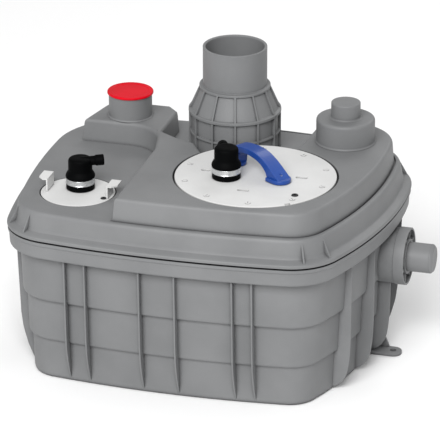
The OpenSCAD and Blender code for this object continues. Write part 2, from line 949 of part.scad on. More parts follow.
// Rubber elbow boot with its cable hole, standing at the origin.
module boot_body(turn) {
    difference() {
        union() {
            rotate_extrude()
                polygon([[0, 0], [boot_r, 0], [boot_r, 9.5], [boot_r - 1, 10],
                    [boot_r - 1, 20], [boot_r + 0.8, 20.5], [boot_r + 0.8, 24],
                    [boot_r - 1, 28], [boot_r - 3.8, 32], [boot_r - 3.8, boot_h - 6],
                    [boot_r - 4.6, boot_h - 3], [boot_r - 7, boot_h - 1],
                    [boot_r - 12, boot_h], [0, boot_h]]);
            rotate([0, 0, turn])
                translate([0, 0, spout_h])
                    rotate([0, 84, 0])
                        union() {
                            cylinder(r = 8, h = spout_len - 2);
                            translate([0, 0, spout_len - 14])
                                cylinder(r = 9.2, h = 14);
                        }
        }
        translate([0, 0, -1])
            cylinder(r = 18 + seat_gap, h = 21 + seat_gap);
        translate([0, 0, 19])
            cylinder(r = 14, h = boot_h - 24);
        rotate([0, 0, turn])
            translate([0, 0, spout_h])
                rotate([0, 84, 0])
                    cylinder(r = cable_r, h = spout_len + 5);
    }
}

module boot_band() {
    difference() {
        union() {
            ring(boot_r + 0.6, boot_r - 1 + seat_gap, 10);
            translate([-9, boot_r - 2, 1.5])
                cube([18, 6, 7]);
            translate([-13, boot_r + 1.5, 5])
                rotate([0, 90, 0])
                    cylinder(r = 2.6, h = 5);
        }
        translate([0, 0, -1])
            cylinder(r = boot_r - 1 + seat_gap, h = 20);
    }
}

module motor_boot() {
    color(black_c)
        translate([motor_boot_x, motor_boot_y, top_z])
            boot_body(motor_boot_turn);
}

module motor_boot_clamp() {
    color(steel_c)
        translate([motor_boot_x, motor_boot_y, top_z + 10])
            rotate([0, 0, 40])
                boot_band();
}

module motor_housing() {
    h = pump_under_z - housing_z;
    color(steel_c)
        at_pump()
            translate([0, 0, housing_z])
                difference() {
                    union() {
                        ring(motor_r, motor_r - motor_wall, h);
                        cylinder(r = motor_r, h = 6);
                        cylinder(r = bearing_r + 6, h = 24);
                    }
                    translate([0, 0, 8])
                        cylinder(r = bearing_r, h = 30);
                    translate([0, 0, -1])
                        cylinder(r = shaft_r + 2, h = 20);
                }
}

module stator() {
    color(grey_dark)
        at_pump()
            translate([0, 0, stator_z])
                difference() {
                    ring(motor_r - motor_wall - seat_gap, stator_in, stator_h);
                    for (i = [0 : 11])
                        rotate([0, 0, i * 30])
                            translate([stator_in + 6, 0, -1])
                                cylinder(r = 3, h = stator_h + 2, $fn = 12);
                }
}

module windings() {
    color(copper_c)
        at_pump() {
            translate([0, 0, stator_z + stator_h])
                ring(motor_r - motor_wall - 4, stator_in + 2, 14);
            translate([0, 0, stator_z - 12])
                ring(motor_r - motor_wall - 4, stator_in + 2, 12);
        }
}

module bearing() {
    ring(bearing_r, bearing_r - 3, 12);
    ring(shaft_r + 3, shaft_r + run_gap, 12);
    translate([0, 0, 1])
        ring(bearing_r - 2.5, shaft_r + 2.5, 10);
}

module upper_bearing() {
    color(steel_c)
        at_pump()
            translate([0, 0, pump_under_z - 46])
                bearing();
}

module lower_bearing() {
    color(steel_c)
        at_pump()
            translate([0, 0, housing_z + 9])
                bearing();
}

module shaft_seal() {
    color(black_c)
        at_pump()
            translate([0, 0, housing_z - 14])
                ring(16, shaft_r + run_gap, 12);
}

module pump_casing() {
    color(grey_dark)
        difference() {
            union() {
                at_pump() {
                    translate([0, 0, casing_z])
                        cylinder(r = volute_r + 10, h = housing_z - casing_z);
                }
                translate([nozzle_x, pump_y, nozzle_z])
                    rotate([-90, 0, 0])
                        cylinder(r = nozzle_r, h = nozzle_y - pump_y);
                translate([nozzle_x, nozzle_y - 7, nozzle_z])
                    rotate([-90, 0, 0])
                        cylinder(r = nozzle_r + 5, h = 7);
            }
            at_pump() {
                translate([0, 0, chamber_z])
                    cylinder(r = volute_r, h = 54);
                translate([0, 0, casing_z - 1])
                    cylinder(r = 56, h = 20);
                translate([0, 0, chamber_z + 50])
                    cylinder(r = shaft_r + 2, h = 40);
                translate([0, 0, housing_z - 15])
                    cylinder(r = 16, h = 20);
            }
            translate([nozzle_x, pump_y, nozzle_z])
                rotate([-90, 0, 0])
                    cylinder(r = nozzle_in, h = nozzle_y - pump_y + 1);
        }
}

module fixed_cutter() {
    color(steel_c)
        at_pump()
            translate([0, 0, cutter_z])
                difference() {
                    cylinder(r = volute_r + 6, h = casing_z - cutter_z);
                    translate([0, 0, -1])
                        cylinder(r = 24, h = 10);
                    for (i = [0 : 7])
                        rotate([0, 0, i * 45]) {
                            translate([34, 0, -1])
                                cylinder(r = 6, h = 10);
                            translate([22, -2, -1])
                                cube([10, 4, 10]);
                        }
                }
}

module suction_cage() {
    color(steel_c)
        at_pump() {
            translate([0, 0, wall + 3])
                ring(volute_r + 6, volute_r - 6, 4);
            for (i = [0 : 17])
                rotate([0, 0, i * 20])
                    translate([volute_r, 0, wall + 5])
                        cylinder(r = 2.4, h = cutter_z - wall - 5, $fn = 24);
        }
}

module pump_shaft() {
    color(steel_c)
        at_pump()
            translate([0, 0, 20])
                cylinder(r = shaft_r, h = pump_under_z - 34);
}

module rotor_core() {
    color(grey_dark)
        at_pump()
            translate([0, 0, stator_z])
                ring(rotor_core_r, shaft_r + run_gap, stator_h);
}

module impeller() {
    z0 = chamber_z + 4;
    color(steel_c)
        at_pump()
            difference() {
                union() {
                    translate([0, 0, z0 + 38])
                        cylinder(r = volute_r - 5, h = 5);
                    translate([0, 0, z0])
                        cylinder(r = 14, h = 43);
                    for (i = [0 : vane_count - 1])
                        rotate([0, 0, i * 360 / vane_count])
                            translate([0, 0, z0 + 6])
                                intersection() {
                                    translate([31, -22, 0])
                                        ring(36, 32, 33);
                                    translate([8, 0, 0])
                                        cube([volute_r - 14, 40, 33]);
                                }
                }
                translate([0, 0, z0 - 1])
                    cylinder(r = shaft_r + run_gap, h = 60);
            }
}

module rotating_cutter() {
    color(steel_c)
        at_pump()
            translate([0, 0, cutter_z - 8])
                difference() {
                    union() {
                        cylinder(r = 14, h = 8 - seat_gap);
                        for (i = [0 : 2])
                            rotate([0, 0, i * 120])
                                linear_extrude(height = 8 - seat_gap)
                                    polygon([[0, -10], [20, -11], [40, -4], [44, 5], [30, 5],
                                        [14, 9], [0, 10]]);
                    }
                    translate([0, 0, -1])
                        cylinder(r = shaft_r + run_gap, h = 20);
                }
}

module cutter_nut() {
    color(steel_c)
        at_pump()
            translate([0, 0, 17])
                difference() {
                    cylinder(r = 13, h = 9, $fn = 6);
                    translate([0, 0, 3])
                        cylinder(r = shaft_r + run_gap, h = 10);
                }
}

// Sensor module

module at_sensor() {
    translate([sensor_x, sensor_y, 0])
        children();
}

module sensor_plate() {
    color(white_c)
        at_sensor()
            difference() {
                union() {
                    translate([0, 0, sensor_under_z])
                        cylinder(r = sensor_plate_r, h = sensor_plate_t);
                    translate([sensor_boot_x - sensor_x, sensor_boot_y - sensor_y, deck_z])
                        cylinder(r = 18, h = 20);
                }
                translate([sensor_boot_x - sensor_x, sensor_boot_y - sensor_y,
                    sensor_under_z - 1])
                    cylinder(r = 12, h = 40);
                translate([50, -17, deck_z - 3])
                    cylinder(r = 5, h = 5);
            }
}

module sensor_plate_seal() {
    color(black_c)
        at_sensor()
            translate([0, 0, sensor_seat_z])
                ring(sensor_plate_r - 1, sensor_hole_r + 1, 2);
}

module sensor_plate_screw() {
    color(black_c)
        at_sensor()
            translate([50, -17, deck_z - 3])
                difference() {
                    cylinder(r = 4.4, h = 4.2);
                    translate([0, 0, 2.4])
                        cylinder(r = 2.2, h = 3, $fn = 6);
                }
}

// Upright leg with a flat tab pointing outwards.
module hook(side, len) {
    t = 2.4;
    translate([side > 0 ? 0 : -t, 0, 0])
        cube([t, len, hook_h]);
    translate([side > 0 ? 0 : -17, 0, hook_h - t])
        difference() {
            cube([17, len, t]);
            translate([side > 0 ? 17 : 0, side > 0 ? 0 : 0, -1])
                rotate([0, 0, side > 0 ? 45 : -45])
                    translate([-6, -6, 0])
                        cube([12, 12, 6]);
        }
}

module left_hook() {
    color(white_c)
        translate([sensor_x - 49, sensor_y - 14, deck_z])
            hook(-1, 35);
}

module right_hook() {
    color(white_c)
        translate([sensor_x + 55, sensor_y - 18, deck_z])
            hook(1, 32);
}

module sensor_boot() {
    color(black_c)
        translate([sensor_boot_x, sensor_boot_y, deck_z])
            boot_body(sensor_boot_turn);
}

module sensor_boot_clamp() {
    color(steel_c)
        translate([sensor_boot_x, sensor_boot_y, deck_z + 10])
            rotate([0, 0, 20])
                boot_band();
}

module level_tube() {
    color(grey_dark)
        at_sensor()
            translate([-14, 0, 50])
                difference() {
                    cylinder(r = 28, h = sensor_under_z - 50);
                    translate([0, 0, -1])
                        cylinder(r = 25, h = sensor_under_z - 55);
                }
}

module alarm_tube() {
    color(grey_dark)
        at_sensor()
            translate([28, 0, 150])
                difference() {
                    cylinder(r = 9, h = sensor_under_z - 150);
                    translate([0, 0, -1])
                        cylinder(r = 7, h = sensor_under_z - 154);
                }
}

module pressure_switch() {
    color(black_c)
        at_sensor()
            translate([-14, 0, sensor_under_z - 30])
                union() {
                    cylinder(r = 22, h = 24);
                    translate([0, 0, -8])
                        cylinder(r = 10, h = 8);
                }
}

tank();
lid();
lid_gasket();
inlet_reducer();
vent_socket();
vent_cap();
blanked_inlet();
outlet_hub();
outlet_pipe();
outlet_plug();
outlet_seal();
discharge_riser();
riser_seal();
valve_body();
valve_cover();
valve_cover_screws();
valve_flap();
valve_pin();
pump_plate();
pump_plate_seal();
pump_plate_screws();
earth_screw();
lifting_handle();
handle_screws();
motor_boot();
motor_boot_clamp();
motor_housing();
stator();
windings();
upper_bearing();
lower_bearing();
shaft_seal();
pump_casing();
fixed_cutter();
suction_cage();
pump_shaft();
rotor_core();
impeller();
rotating_cutter();
cutter_nut();
sensor_plate();
sensor_plate_seal();
sensor_plate_screw();
left_hook();
right_hook();
sensor_boot();
sensor_boot_clamp();
level_tube();
alarm_tube();
pressure_switch();
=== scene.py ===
# %% [markdown]
# A lifting station with a macerating pump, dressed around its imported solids.
# The solids already have their true places, so every new piece is made at that place, in metres,
# and nothing is fitted by eye. The lesson goes from the frame, through the finishes, to the
# moulded tank, the lid, the pipe ends, and the two lift-out modules.

# %% Load the frame
import bpy
import bmesh
import json
import math
from mathutils import Matrix, Vector


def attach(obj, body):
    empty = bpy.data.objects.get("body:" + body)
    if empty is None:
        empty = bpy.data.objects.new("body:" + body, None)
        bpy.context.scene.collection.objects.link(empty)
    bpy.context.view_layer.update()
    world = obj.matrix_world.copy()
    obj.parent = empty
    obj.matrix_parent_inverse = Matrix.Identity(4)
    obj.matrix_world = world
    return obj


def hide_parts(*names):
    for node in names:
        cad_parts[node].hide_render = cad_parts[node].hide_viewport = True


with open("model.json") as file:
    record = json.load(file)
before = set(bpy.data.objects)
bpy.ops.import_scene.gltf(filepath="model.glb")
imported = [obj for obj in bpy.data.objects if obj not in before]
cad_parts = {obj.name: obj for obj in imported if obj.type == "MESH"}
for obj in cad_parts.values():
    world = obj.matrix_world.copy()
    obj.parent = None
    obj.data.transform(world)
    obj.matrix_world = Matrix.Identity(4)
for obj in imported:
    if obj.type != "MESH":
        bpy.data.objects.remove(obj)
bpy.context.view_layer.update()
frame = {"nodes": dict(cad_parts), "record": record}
MM = 0.001

# %% [markdown]
# The camera comes first, because every later choice is judged through it. A long lens far away
# gives the flat perspective of a product photograph. Its place is given as two angles and a
# distance from the middle of the tank, which is easier to correct than a position and a rotation.

# %% Camera
SCENE = bpy.context.scene
SCENE.view_settings.view_transform = "Standard"


def aim(thing, target, azimuth, elevation, distance):
    """Put a camera or a lamp on a sphere round the target, looking at it."""
    az, el = math.radians(azimuth), math.radians(elevation)
    back = Vector((math.sin(az) * math.cos(el), -math.cos(az) * math.cos(el), math.sin(el)))
    thing.location = Vector(target) + back * distance
    thing.rotation_euler = (-back).to_track_quat("-Z", "Y").to_euler()


lens = bpy.data.cameras.new("camera")
lens.lens, lens.sensor_width, lens.clip_end = 297.8, 36, 60
camera = bpy.data.objects.new("camera", lens)
SCENE.collection.objects.link(camera)
aim(camera, (0.0254, -0.0252, 0.2423), azimuth=15.7, elevation=23.1, distance=6.144)
SCENE.camera = camera
print("camera at", [round(v, 3) for v in camera.location])

# %% [markdown]
# The light is one large soft panel in front of the tank, inside an even white surround. The front
# walls and the deck get about the same light from it, while the right-hand walls stay darker, as
# in the photograph. A second faint panel keeps the back readable.

# %% Light
SURROUND_STRENGTH = 0.56
surround = bpy.data.worlds.new("surround")
SCENE.world = surround
surround.use_nodes = True
sky = surround.node_tree.nodes["Background"]
sky.inputs["Color"].default_value = (1, 1, 1, 1)
sky.inputs["Strength"].default_value = SURROUND_STRENGTH


def panel(name, width, height, power, azimuth, elevation, distance):
    """Add one soft rectangular lamp that looks at the middle of the object."""
    data = bpy.data.lights.new(name, "AREA")
    data.shape, data.size, data.size_y, data.energy = "RECTANGLE", width, height, power
    lamp = bpy.data.objects.new(name, data)
    SCENE.collection.objects.link(lamp)
    aim(lamp, (0, 0, 0.25), azimuth, elevation, distance)


panel("front_panel", 3.6, 2.7, power=365, azimuth=3, elevation=40, distance=6.0)
panel("rear_panel", 2.0, 1.5, power=30, azimuth=165, elevation=40, distance=4.0)

# %% [markdown]
# Modelling here is done with the same operators that a hand would use. Each of them acts on all
# that is selected, so the first helpers select one piece only, and open or close edit mode. Faces
# are turned outwards on the way out, since a spun or mirrored shape may come out inside out.

# %% Selecting and editing


def only(piece):
    """Make one piece the selected and active one."""
    bpy.ops.object.select_all(action="DESELECT")
    piece.select_set(True)
    bpy.context.view_layer.objects.active = piece


def edit(piece, kind="VERT"):
    """Open edit mode with everything selected."""
    only(piece)
    bpy.ops.object.mode_set(mode="EDIT")
    bpy.ops.mesh.select_mode(type=kind)
    bpy.ops.mesh.select_all(action="SELECT")
    return bmesh.from_edit_mesh(piece.data)


def close_edit():
    """Turn every face outwards and leave edit mode."""
    bpy.ops.mesh.select_all(action="SELECT")
    bpy.ops.mesh.normals_make_consistent(inside=False)
    bpy.ops.object.mode_set(mode="OBJECT")


print("editing helpers ready")

# %% [markdown]
# Two ways of starting a piece cover most of the object: an outline pushed along a line, for plates
# and ribs, and a profile spun round an axis, for pipes and plates that are round. Both start from
# a circle whose points are put where the drawing wants them. A third way, for the tank and the
# lid, comes later with the plan that it needs.

# %% Starting a piece
SAME_SPOT = 1e-6


def outline_on(name, points, fill="NGON"):
    """Add a circle and set its points, in mm, on the given places."""
    bpy.ops.object.select_all(action="DESELECT")
    bpy.ops.mesh.primitive_circle_add(vertices=len(points), radius=0.1, fill_type=fill,
                                      location=(0, 0, 0))
    piece = bpy.context.object
    piece.name = piece.data.name = name
    for vert, place in zip(piece.data.vertices, points):
        vert.co = Vector(place) * MM
    return piece


def pushed(name, points, way):
    """A closed outline extruded along one line."""
    piece = outline_on(name, points)
    edit(piece, "FACE")
    bpy.ops.mesh.extrude_region_move(TRANSFORM_OT_translate={"value": Vector(way) * MM})
    close_edit()
    return piece


def turned(name, profile, at=(0, 0, 0), along=(0, 0, 1), side=(1, 0, 0), steps=96):
    """A closed profile of (radius, height) spun round an axis."""
    at, along, side = Vector(at), Vector(along).normalized(), Vector(side).normalized()
    piece = outline_on(name, [at + side * r + along * h for r, h in profile], "NOTHING")
    edit(piece)
    bpy.ops.mesh.spin(steps=steps, angle=math.tau, center=at * MM, axis=along)
    bpy.ops.mesh.select_all(action="SELECT")
    bpy.ops.mesh.remove_doubles(threshold=SAME_SPOT)
    bpy.ops.mesh.delete_loose(use_verts=True, use_edges=True, use_faces=False)
    close_edit()
    return piece


print("starters ready: outline, pushed, turned")

# %% [markdown]
# A moulded corner is never knife sharp. A bevel could round it afterwards, but a bevel of a curved
# edge can fold over itself, so a profile or a path has its corners rounded before it is used. Each
# corner becomes a short curve that leaves one side and meets the next.

# %% Rounding a path
STRAIGHT_ENOUGH = 0.15


def eased(path, reach=1.0, steps=3, closed=True):
    """Round the corners of a path, apart from its ends on the axis or in the open.

    A point may carry a third number, its own reach.
    """
    result, count = [], len(path)
    for i, (x, y, *own) in enumerate(path):
        before, here = Vector(path[i - 1][:2]), Vector((x, y))
        after = Vector(path[(i + 1) % count][:2])
        end = not closed and i in (0, count - 1)
        if end or x == 0 or (here - before).angle(after - here) < STRAIGHT_ENOUGH:
            result.append((x, y))
            continue
        far = own[0] if own else reach
        start = here + (before - here).normalized() * min(far, (before - here).length * 0.45)
        stop = here + (after - here).normalized() * min(far, (after - here).length * 0.45)
        for k in range(steps + 1):
            t = k / steps
            result.append(tuple(start * (1 - t) ** 2 + here * 2 * t * (1 - t) + stop * t * t))
    return result


print("a square with eased corners has", len(eased([(1, 1), (9, 1), (9, 9), (1, 9)])), "points")

# %% [markdown]
# Holes and joints between shapes are made by boolean modifiers that are applied at once. The exact
# solver copes with faces that touch. A small bevel breaks the edges of plates and ribs, and it is
# a modifier too, because that one can leave out every edge flatter than an angle.

# %% Cutting and softening


def carve(piece, tool, how="DIFFERENCE", overlaps=False):
    """Apply a boolean and throw the tool away."""
    only(piece)
    cut = piece.modifiers.new("cut", "BOOLEAN")
    cut.operation, cut.solver, cut.object = how, "EXACT", tool
    cut.use_self = overlaps
    bpy.ops.object.modifier_apply(modifier="cut")
    mesh = tool.data
    bpy.data.objects.remove(tool)
    bpy.data.meshes.remove(mesh)


def soften(piece, width, segments=2, angle=35):
    """Bevel every edge that is sharper than the angle."""
    only(piece)
    edge = piece.modifiers.new("edge", "BEVEL")
    edge.width, edge.segments = width * MM, segments
    edge.limit_method, edge.angle_limit = "ANGLE", math.radians(angle)
    bpy.ops.object.modifier_apply(modifier="edge")
    return piece


print("cutting helpers ready")

# %% [markdown]
# Fins, ribs, webs and screw wells repeat. One is modelled with care, and its copies are placed by
# a matrix and joined, so that a single boolean can weld or cut all of them. The copies get meshes
# of their own and the matrix goes into the mesh, which leaves every object at the origin.

# %% Copies and places


def above(place, height):
    """The point that lies so many mm above a place."""
    return place + Vector((0, 0, height))


def move(x=0, y=0, z=0, turn=0):
    """A matrix that turns about the vertical and then moves, in mm and degrees."""
    return Matrix.Translation((x, y, z)) @ Matrix.Rotation(math.radians(turn), 4, "Z")


def twin(piece, matrix):
    """A copy with a mesh of its own, moved by a matrix in mm."""
    other = piece.copy()
    other.data = piece.data.copy()
    SCENE.collection.objects.link(other)
    other.data.transform(Matrix.Scale(MM, 4) @ matrix @ Matrix.Scale(1 / MM, 4))
    if matrix.determinant() < 0:
        edit(other)
        close_edit()
    return other


def joined(parts):
    """Join several objects into the first."""
    only(parts[0])
    for part in parts[1:]:
        part.select_set(True)
    bpy.ops.object.join()
    return parts[0]


def around(piece, count, at, along=(0, 0, 1), first=0.0):
    """Copies of a piece set evenly round an axis, joined, and the piece itself removed."""
    home = Matrix.Translation(Vector(at))
    parts = [twin(piece, home @ Matrix.Rotation(math.radians(first) + math.tau * i / count, 4,
                                                Vector(along)) @ home.inverted())
             for i in range(count)]
    bpy.data.objects.remove(piece)
    return joined(parts)


def settled(piece, name, matrix):
    """Move a piece that was modelled at the origin to its place, under its name."""
    moved = twin(piece, matrix)
    bpy.data.objects.remove(piece)
    moved.name = moved.data.name = name
    return moved


print("copying helpers ready")

# %% [markdown]
# Dressing is the last step of every piece. What the cuts left a hair apart is welded, and slits
# are closed. Round faces get smooth shading and flat ones keep it flat, by an angle. Then the
# piece gets its finish, the body that it moves with, and the names of the solids that it hides.

# %% Dressing a piece
WELD, SLIT_SIDES = 0.02 * MM, 8
DONE = set()


def dress(piece, finish, body, *nodes, angle=32):
    """Weld and shade a piece, and give it its finish, its body and its solids."""
    edit(piece)
    bpy.ops.mesh.remove_doubles(threshold=WELD)
    bpy.ops.mesh.fill_holes(sides=SLIT_SIDES)
    close_edit()
    only(piece)
    bpy.ops.object.shade_smooth_by_angle(angle=math.radians(angle))
    weigh = piece.modifiers.new("weigh", "WEIGHTED_NORMAL")
    weigh.keep_sharp = True
    bpy.ops.object.modifier_apply(modifier="weigh")
    piece.data.materials.clear()
    piece.data.materials.append(FINISH[finish])
    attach(piece, body)
    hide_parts(*nodes)
    DONE.update(nodes)
    print(piece.name, "faces:", len(piece.data.polygons), "replaces", *nodes)


print("dressing helper ready")

# %% [markdown]
# Every finish is built from nodes on Object coordinates, so it has the right scale on every piece
# and doesn't slide when a piece moves. Two helpers make what all of them share: a noise of a given
# size, and painted shade in narrow grooves, where the colour itself is darkened to stand in for the
# shade there. The second asks the occlusion node how open the surface is within a short reach.

# %% Noise and painted groove shade


def noise_of(nodes, link, vector, size, detail):
    """A noise of a given size on the given coordinates."""
    noise = nodes.new("ShaderNodeTexNoise")
    noise.inputs["Scale"].default_value = size
    noise.inputs["Detail"].default_value = detail
    link(vector, noise.inputs["Vector"])
    return noise.outputs["Fac"]


def shaded_in_grooves(nodes, link, colour, groove, reach):
    """The colour, darkened towards the groove colour where the surface is shut in: painted shade.
    """
    hollow = nodes.new("ShaderNodeAmbientOcclusion")
    hollow.samples = 6
    hollow.inputs["Distance"].default_value = reach * MM
    open_air = nodes.new("ShaderNodeMapRange")
    open_air.inputs["From Min"].default_value = 0.25
    open_air.inputs["From Max"].default_value = 0.8
    link(hollow.outputs["AO"], open_air.inputs["Value"])
    # Painted shade: the colour is mixed towards the dark groove colour where the surface is shut
    # in.
    shade = nodes.new("ShaderNodeMix")
    shade.data_type = "RGBA"
    shade.inputs["A"].default_value = (*groove, 1)
    link(open_air.outputs["Result"], shade.inputs["Factor"])
    link(colour, shade.inputs["B"])
    return shade.outputs["Result"]


print("noise and groove helpers ready")

# %% [markdown]
# A finish mixes two close tints by a broad noise, so that no large wall is one flat colour. A fine
# noise gives the grain of the mould to the bump and to the roughness. The same nodes with a stretch
# along one axis make brushed steel.

# %% One finish


def finish_of(name, light, dark, rough, grain, bump, patch=12, metallic=0.0, coat=0.0,
              groove=None, reach=10, stretch=(1, 1, 1), gloss=0.5):
    """One procedural finish: tint, painted shade in grooves, roughness and grain."""
    material = bpy.data.materials.new(name)
    material.use_nodes = True
    nodes, link = material.node_tree.nodes, material.node_tree.links.new
    shader = nodes["Principled BSDF"]
    shader.inputs["Metallic"].default_value = metallic
    shader.inputs["Coat Weight"].default_value = coat
    shader.inputs["Specular IOR Level"].default_value = gloss
    place = nodes.new("ShaderNodeTexCoord")
    scale = nodes.new("ShaderNodeMapping")
    scale.inputs["Scale"].default_value = stretch
    link(place.outputs["Object"], scale.inputs["Vector"])
    broad, fine = [noise_of(nodes, link, scale.outputs["Vector"], size, detail)
                   for size, detail in ((patch, 4), (grain, 2))]
    spread = nodes.new("ShaderNodeMapRange")
    spread.inputs["From Min"].default_value = 0.35
    spread.inputs["From Max"].default_value = 0.65
    link(broad, spread.inputs["Value"])
    tint = nodes.new("ShaderNodeMix")
    tint.data_type = "RGBA"
    tint.inputs["A"].default_value = (*dark, 1)
    tint.inputs["B"].default_value = (*light, 1)
    link(spread.outputs["Result"], tint.inputs["Factor"])
    colour = tint.outputs["Result"]
    # The groove colour is painted shade, laid where the surface is shut in.
    if groove:
        colour = shaded_in_grooves(nodes, link, colour, groove, reach)
    link(colour, shader.inputs["Base Color"])
    polish = nodes.new("ShaderNodeMapRange")
    polish.inputs["To Min"].default_value, polish.inputs["To Max"].default_value = rough
    link(fine, polish.inputs["Value"])
    link(polish.outputs["Result"], shader.inputs["Roughness"])
    relief = nodes.new("ShaderNodeBump")
    relief.inputs["Strength"].default_value = bump
    relief.inputs["Distance"].default_value = 0.4 * MM
    link(fine, relief.inputs["Height"])
    link(relief.outputs["Normal"], shader.inputs["Normal"])
    return material


print("finish helper ready")

# %% [markdown]
# The recipes are the numbers of each finish. The tank is mid-grey polyethylene with a matt grain,
# the rubber is nearly black and hardly shines, and the metals differ in how dark and how brushed
# they are. Only the two plastics with narrow gaps get painted groove shade, as occlusion costs
# time.

# %% Recipes
# A groove colour below is painted shade for narrow gaps, not a colour of the plastic.
RECIPES = {
    "grey_plastic": dict(light=(0.182, 0.185, 0.188), dark=(0.161, 0.164, 0.167),
                         rough=(0.42, 0.62), grain=700, bump=0.35, groove=(0.045, 0.045, 0.047),
                         reach=10, gloss=0.35),
    "white_plate": dict(light=(0.62, 0.62, 0.615), dark=(0.57, 0.57, 0.565), rough=(0.4, 0.55),
                        grain=500, bump=0.15, groove=(0.1, 0.1, 0.1), reach=4, gloss=0.3),
    "black_rubber": dict(light=(0.0016, 0.0018, 0.002), dark=(0.001, 0.0011, 0.0013),
                         rough=(0.5, 0.7), grain=600, bump=0.3, gloss=0.035),
    "steel": dict(light=(0.72, 0.73, 0.74), dark=(0.6, 0.61, 0.62), rough=(0.18, 0.38),
                  grain=300, bump=0.12, metallic=1.0, stretch=(1, 1, 8)),
    "motor_steel": dict(light=(0.55, 0.56, 0.57), dark=(0.45, 0.46, 0.47), rough=(0.25, 0.42),
                        grain=260, bump=0.15, metallic=1.0, stretch=(1, 1, 10)),
    "blue_plastic": dict(light=(0.014, 0.062, 0.29), dark=(0.01, 0.048, 0.24),
                         rough=(0.25, 0.38), grain=500, bump=0.1, coat=0.06, gloss=0.35),
    "red_plastic": dict(light=(0.62, 0.001, 0.012), dark=(0.52, 0.001, 0.008),
                        rough=(0.35, 0.5), grain=500, bump=0.12, gloss=0.1),
    "dark_plastic": dict(light=(0.075, 0.078, 0.085), dark=(0.05, 0.052, 0.058),
                         rough=(0.4, 0.6), grain=500, bump=0.2),
    "cast_iron": dict(light=(0.11, 0.11, 0.115), dark=(0.06, 0.06, 0.065), rough=(0.5, 0.75),
                      grain=220, bump=0.6, metallic=0.4),
    "dark_metal": dict(light=(0.03, 0.03, 0.033), dark=(0.015, 0.015, 0.017),
                       rough=(0.3, 0.5), grain=400, bump=0.15, metallic=0.6),
    "core_steel": dict(light=(0.2, 0.2, 0.21), dark=(0.12, 0.12, 0.13), rough=(0.4, 0.6),
                       grain=240, bump=0.5, metallic=0.8, stretch=(0.05, 0.05, 6)),
    "copper": dict(light=(0.68, 0.33, 0.15), dark=(0.45, 0.18, 0.07), rough=(0.25, 0.5),
                   grain=300, bump=0.6, metallic=0.9, stretch=(0.2, 0.2, 5)),
}
FINISH = {name: finish_of(name, **recipe) for name, recipe in RECIPES.items()}
print("finishes:", ", ".join(FINISH))

# %% [markdown]
# The floor is a plain white sheet on which the tank stands. It isn't part of the object.
# Its size only has to fill the view.

# %% Floor
floor_white = bpy.data.materials.new("floor_white")
floor_white.use_nodes = True
paint = floor_white.node_tree.nodes["Principled BSDF"]
paint.inputs["Base Color"].default_value = (0.93, 0.93, 0.93, 1)
paint.inputs["Roughness"].default_value = 0.9
bpy.ops.mesh.primitive_plane_add(size=16, location=(0, 0, 0))
floor = bpy.context.object
floor.name = "floor"
floor.data.materials.append(floor_white)
print("floor laid")

# %% [markdown]
# These are the sizes that the whole scene shares, in mm: the plan, the heights of the rim, of the
# two decks and of the steps in the wall, and the wall thicknesses. They are the sizes of the
# solids, so a new piece lands on the old one without any fitting.

# %% Shared sizes
BODY_W, BODY_D, RIM = 639, 521, 266
DECK = RIM + 44
TOP = DECK + 39
BAND, STEP_LOW, STEP_HIGH = RIM - 33, 74, 149
WALL, LID_WALL = 5, 4
print("rim, lower deck and upper deck at", RIM, DECK, TOP, "mm")

# %% [markdown]
# The plan of the tank is four large arcs, one for each wall, with four corner arcs that touch the
# walls on both sides of them. The centre of such a corner arc is where two circles meet: one about
# each wall's centre, with the wall's radius less the corner's.

# %% Arcs of the plan
FRONT_R, RIGHT_R, LEFT_R = 1640, 705, 1350
CENTRES = [(-14, FRONT_R - BODY_D / 2), (BODY_W / 2 - RIGHT_R, 75),
           (0, BODY_D / 2 - FRONT_R), (LEFT_R - BODY_W / 2, 50)]
RADII = [FRONT_R, RIGHT_R, FRONT_R, LEFT_R]
CORNER_RADII = [92, 120, 160, 92]
SIDES = [(1, -1), (1, 1), (-1, 1), (-1, -1)]


def corner_centre(i):
    """Centre of the arc that touches wall i and the next one."""
    a, b = Vector(CENTRES[i]), Vector(CENTRES[(i + 1) % 4])
    r1, r2 = RADII[i] - CORNER_RADII[i], RADII[(i + 1) % 4] - CORNER_RADII[i]
    gap = (b - a).length
    u = (b - a) / gap
    k = (r1 * r1 - r2 * r2 + gap * gap) / (2 * gap)
    n = Vector((-u.y, u.x)) * math.sqrt(r1 * r1 - k * k)
    return a + u * k + (n if n.dot(Vector(SIDES[i])) > 0 else -n)


CORNERS = [corner_centre(i) for i in range(4)]
print("corner centres:", [tuple(round(v) for v in c) for c in CORNERS])

# %% [markdown]
# Every step, band and flange of the tank and the lid follows the plan at its own inset. An inset
# only changes the radii, so the points of one ring always lie beside those of the next, and a
# point on a wall can be asked for as well, to seat fins and lugs.

# %% Points of the plan


def heading(a, b):
    """Angle of the line from a to b."""
    return math.atan2(b[1] - a[1], b[0] - a[0])


def plan(inset, wall_steps=12, corner_steps=14):
    """Points of the outline, inset by so many mm, anticlockwise from the front."""
    points = []
    for i in range(4):
        a0 = heading(CENTRES[i], CORNERS[i - 1])
        a1 = heading(CENTRES[i], CORNERS[i])
        a1 += math.tau if a1 < a0 else 0
        a2 = heading(CENTRES[(i + 1) % 4], CORNERS[i])
        a2 += math.tau if a2 < a1 else 0
        for centre, radius, low, high, steps in (
                (CENTRES[i], RADII[i], a0, a1, wall_steps),
                (CORNERS[i], CORNER_RADII[i], a1, a2, corner_steps)):
            for k in range(steps):
                t = low + (high - low) * k / steps
                points.append((centre[0] + (radius - inset) * math.cos(t),
                               centre[1] + (radius - inset) * math.sin(t)))
    return points


def wall_at(i, place, inset):
    """Where inset wall i lies: y of the front or rear at an x, x of an end at a y."""
    across, depth = (0, 1) if i in (0, 2) else (1, 0)
    reach = math.sqrt((RADII[i] - inset) ** 2 - (place - CENTRES[i][across]) ** 2)
    return CENTRES[i][depth] + (reach if i in (1, 2) else -reach)


print("outline points:", len(plan(0)))

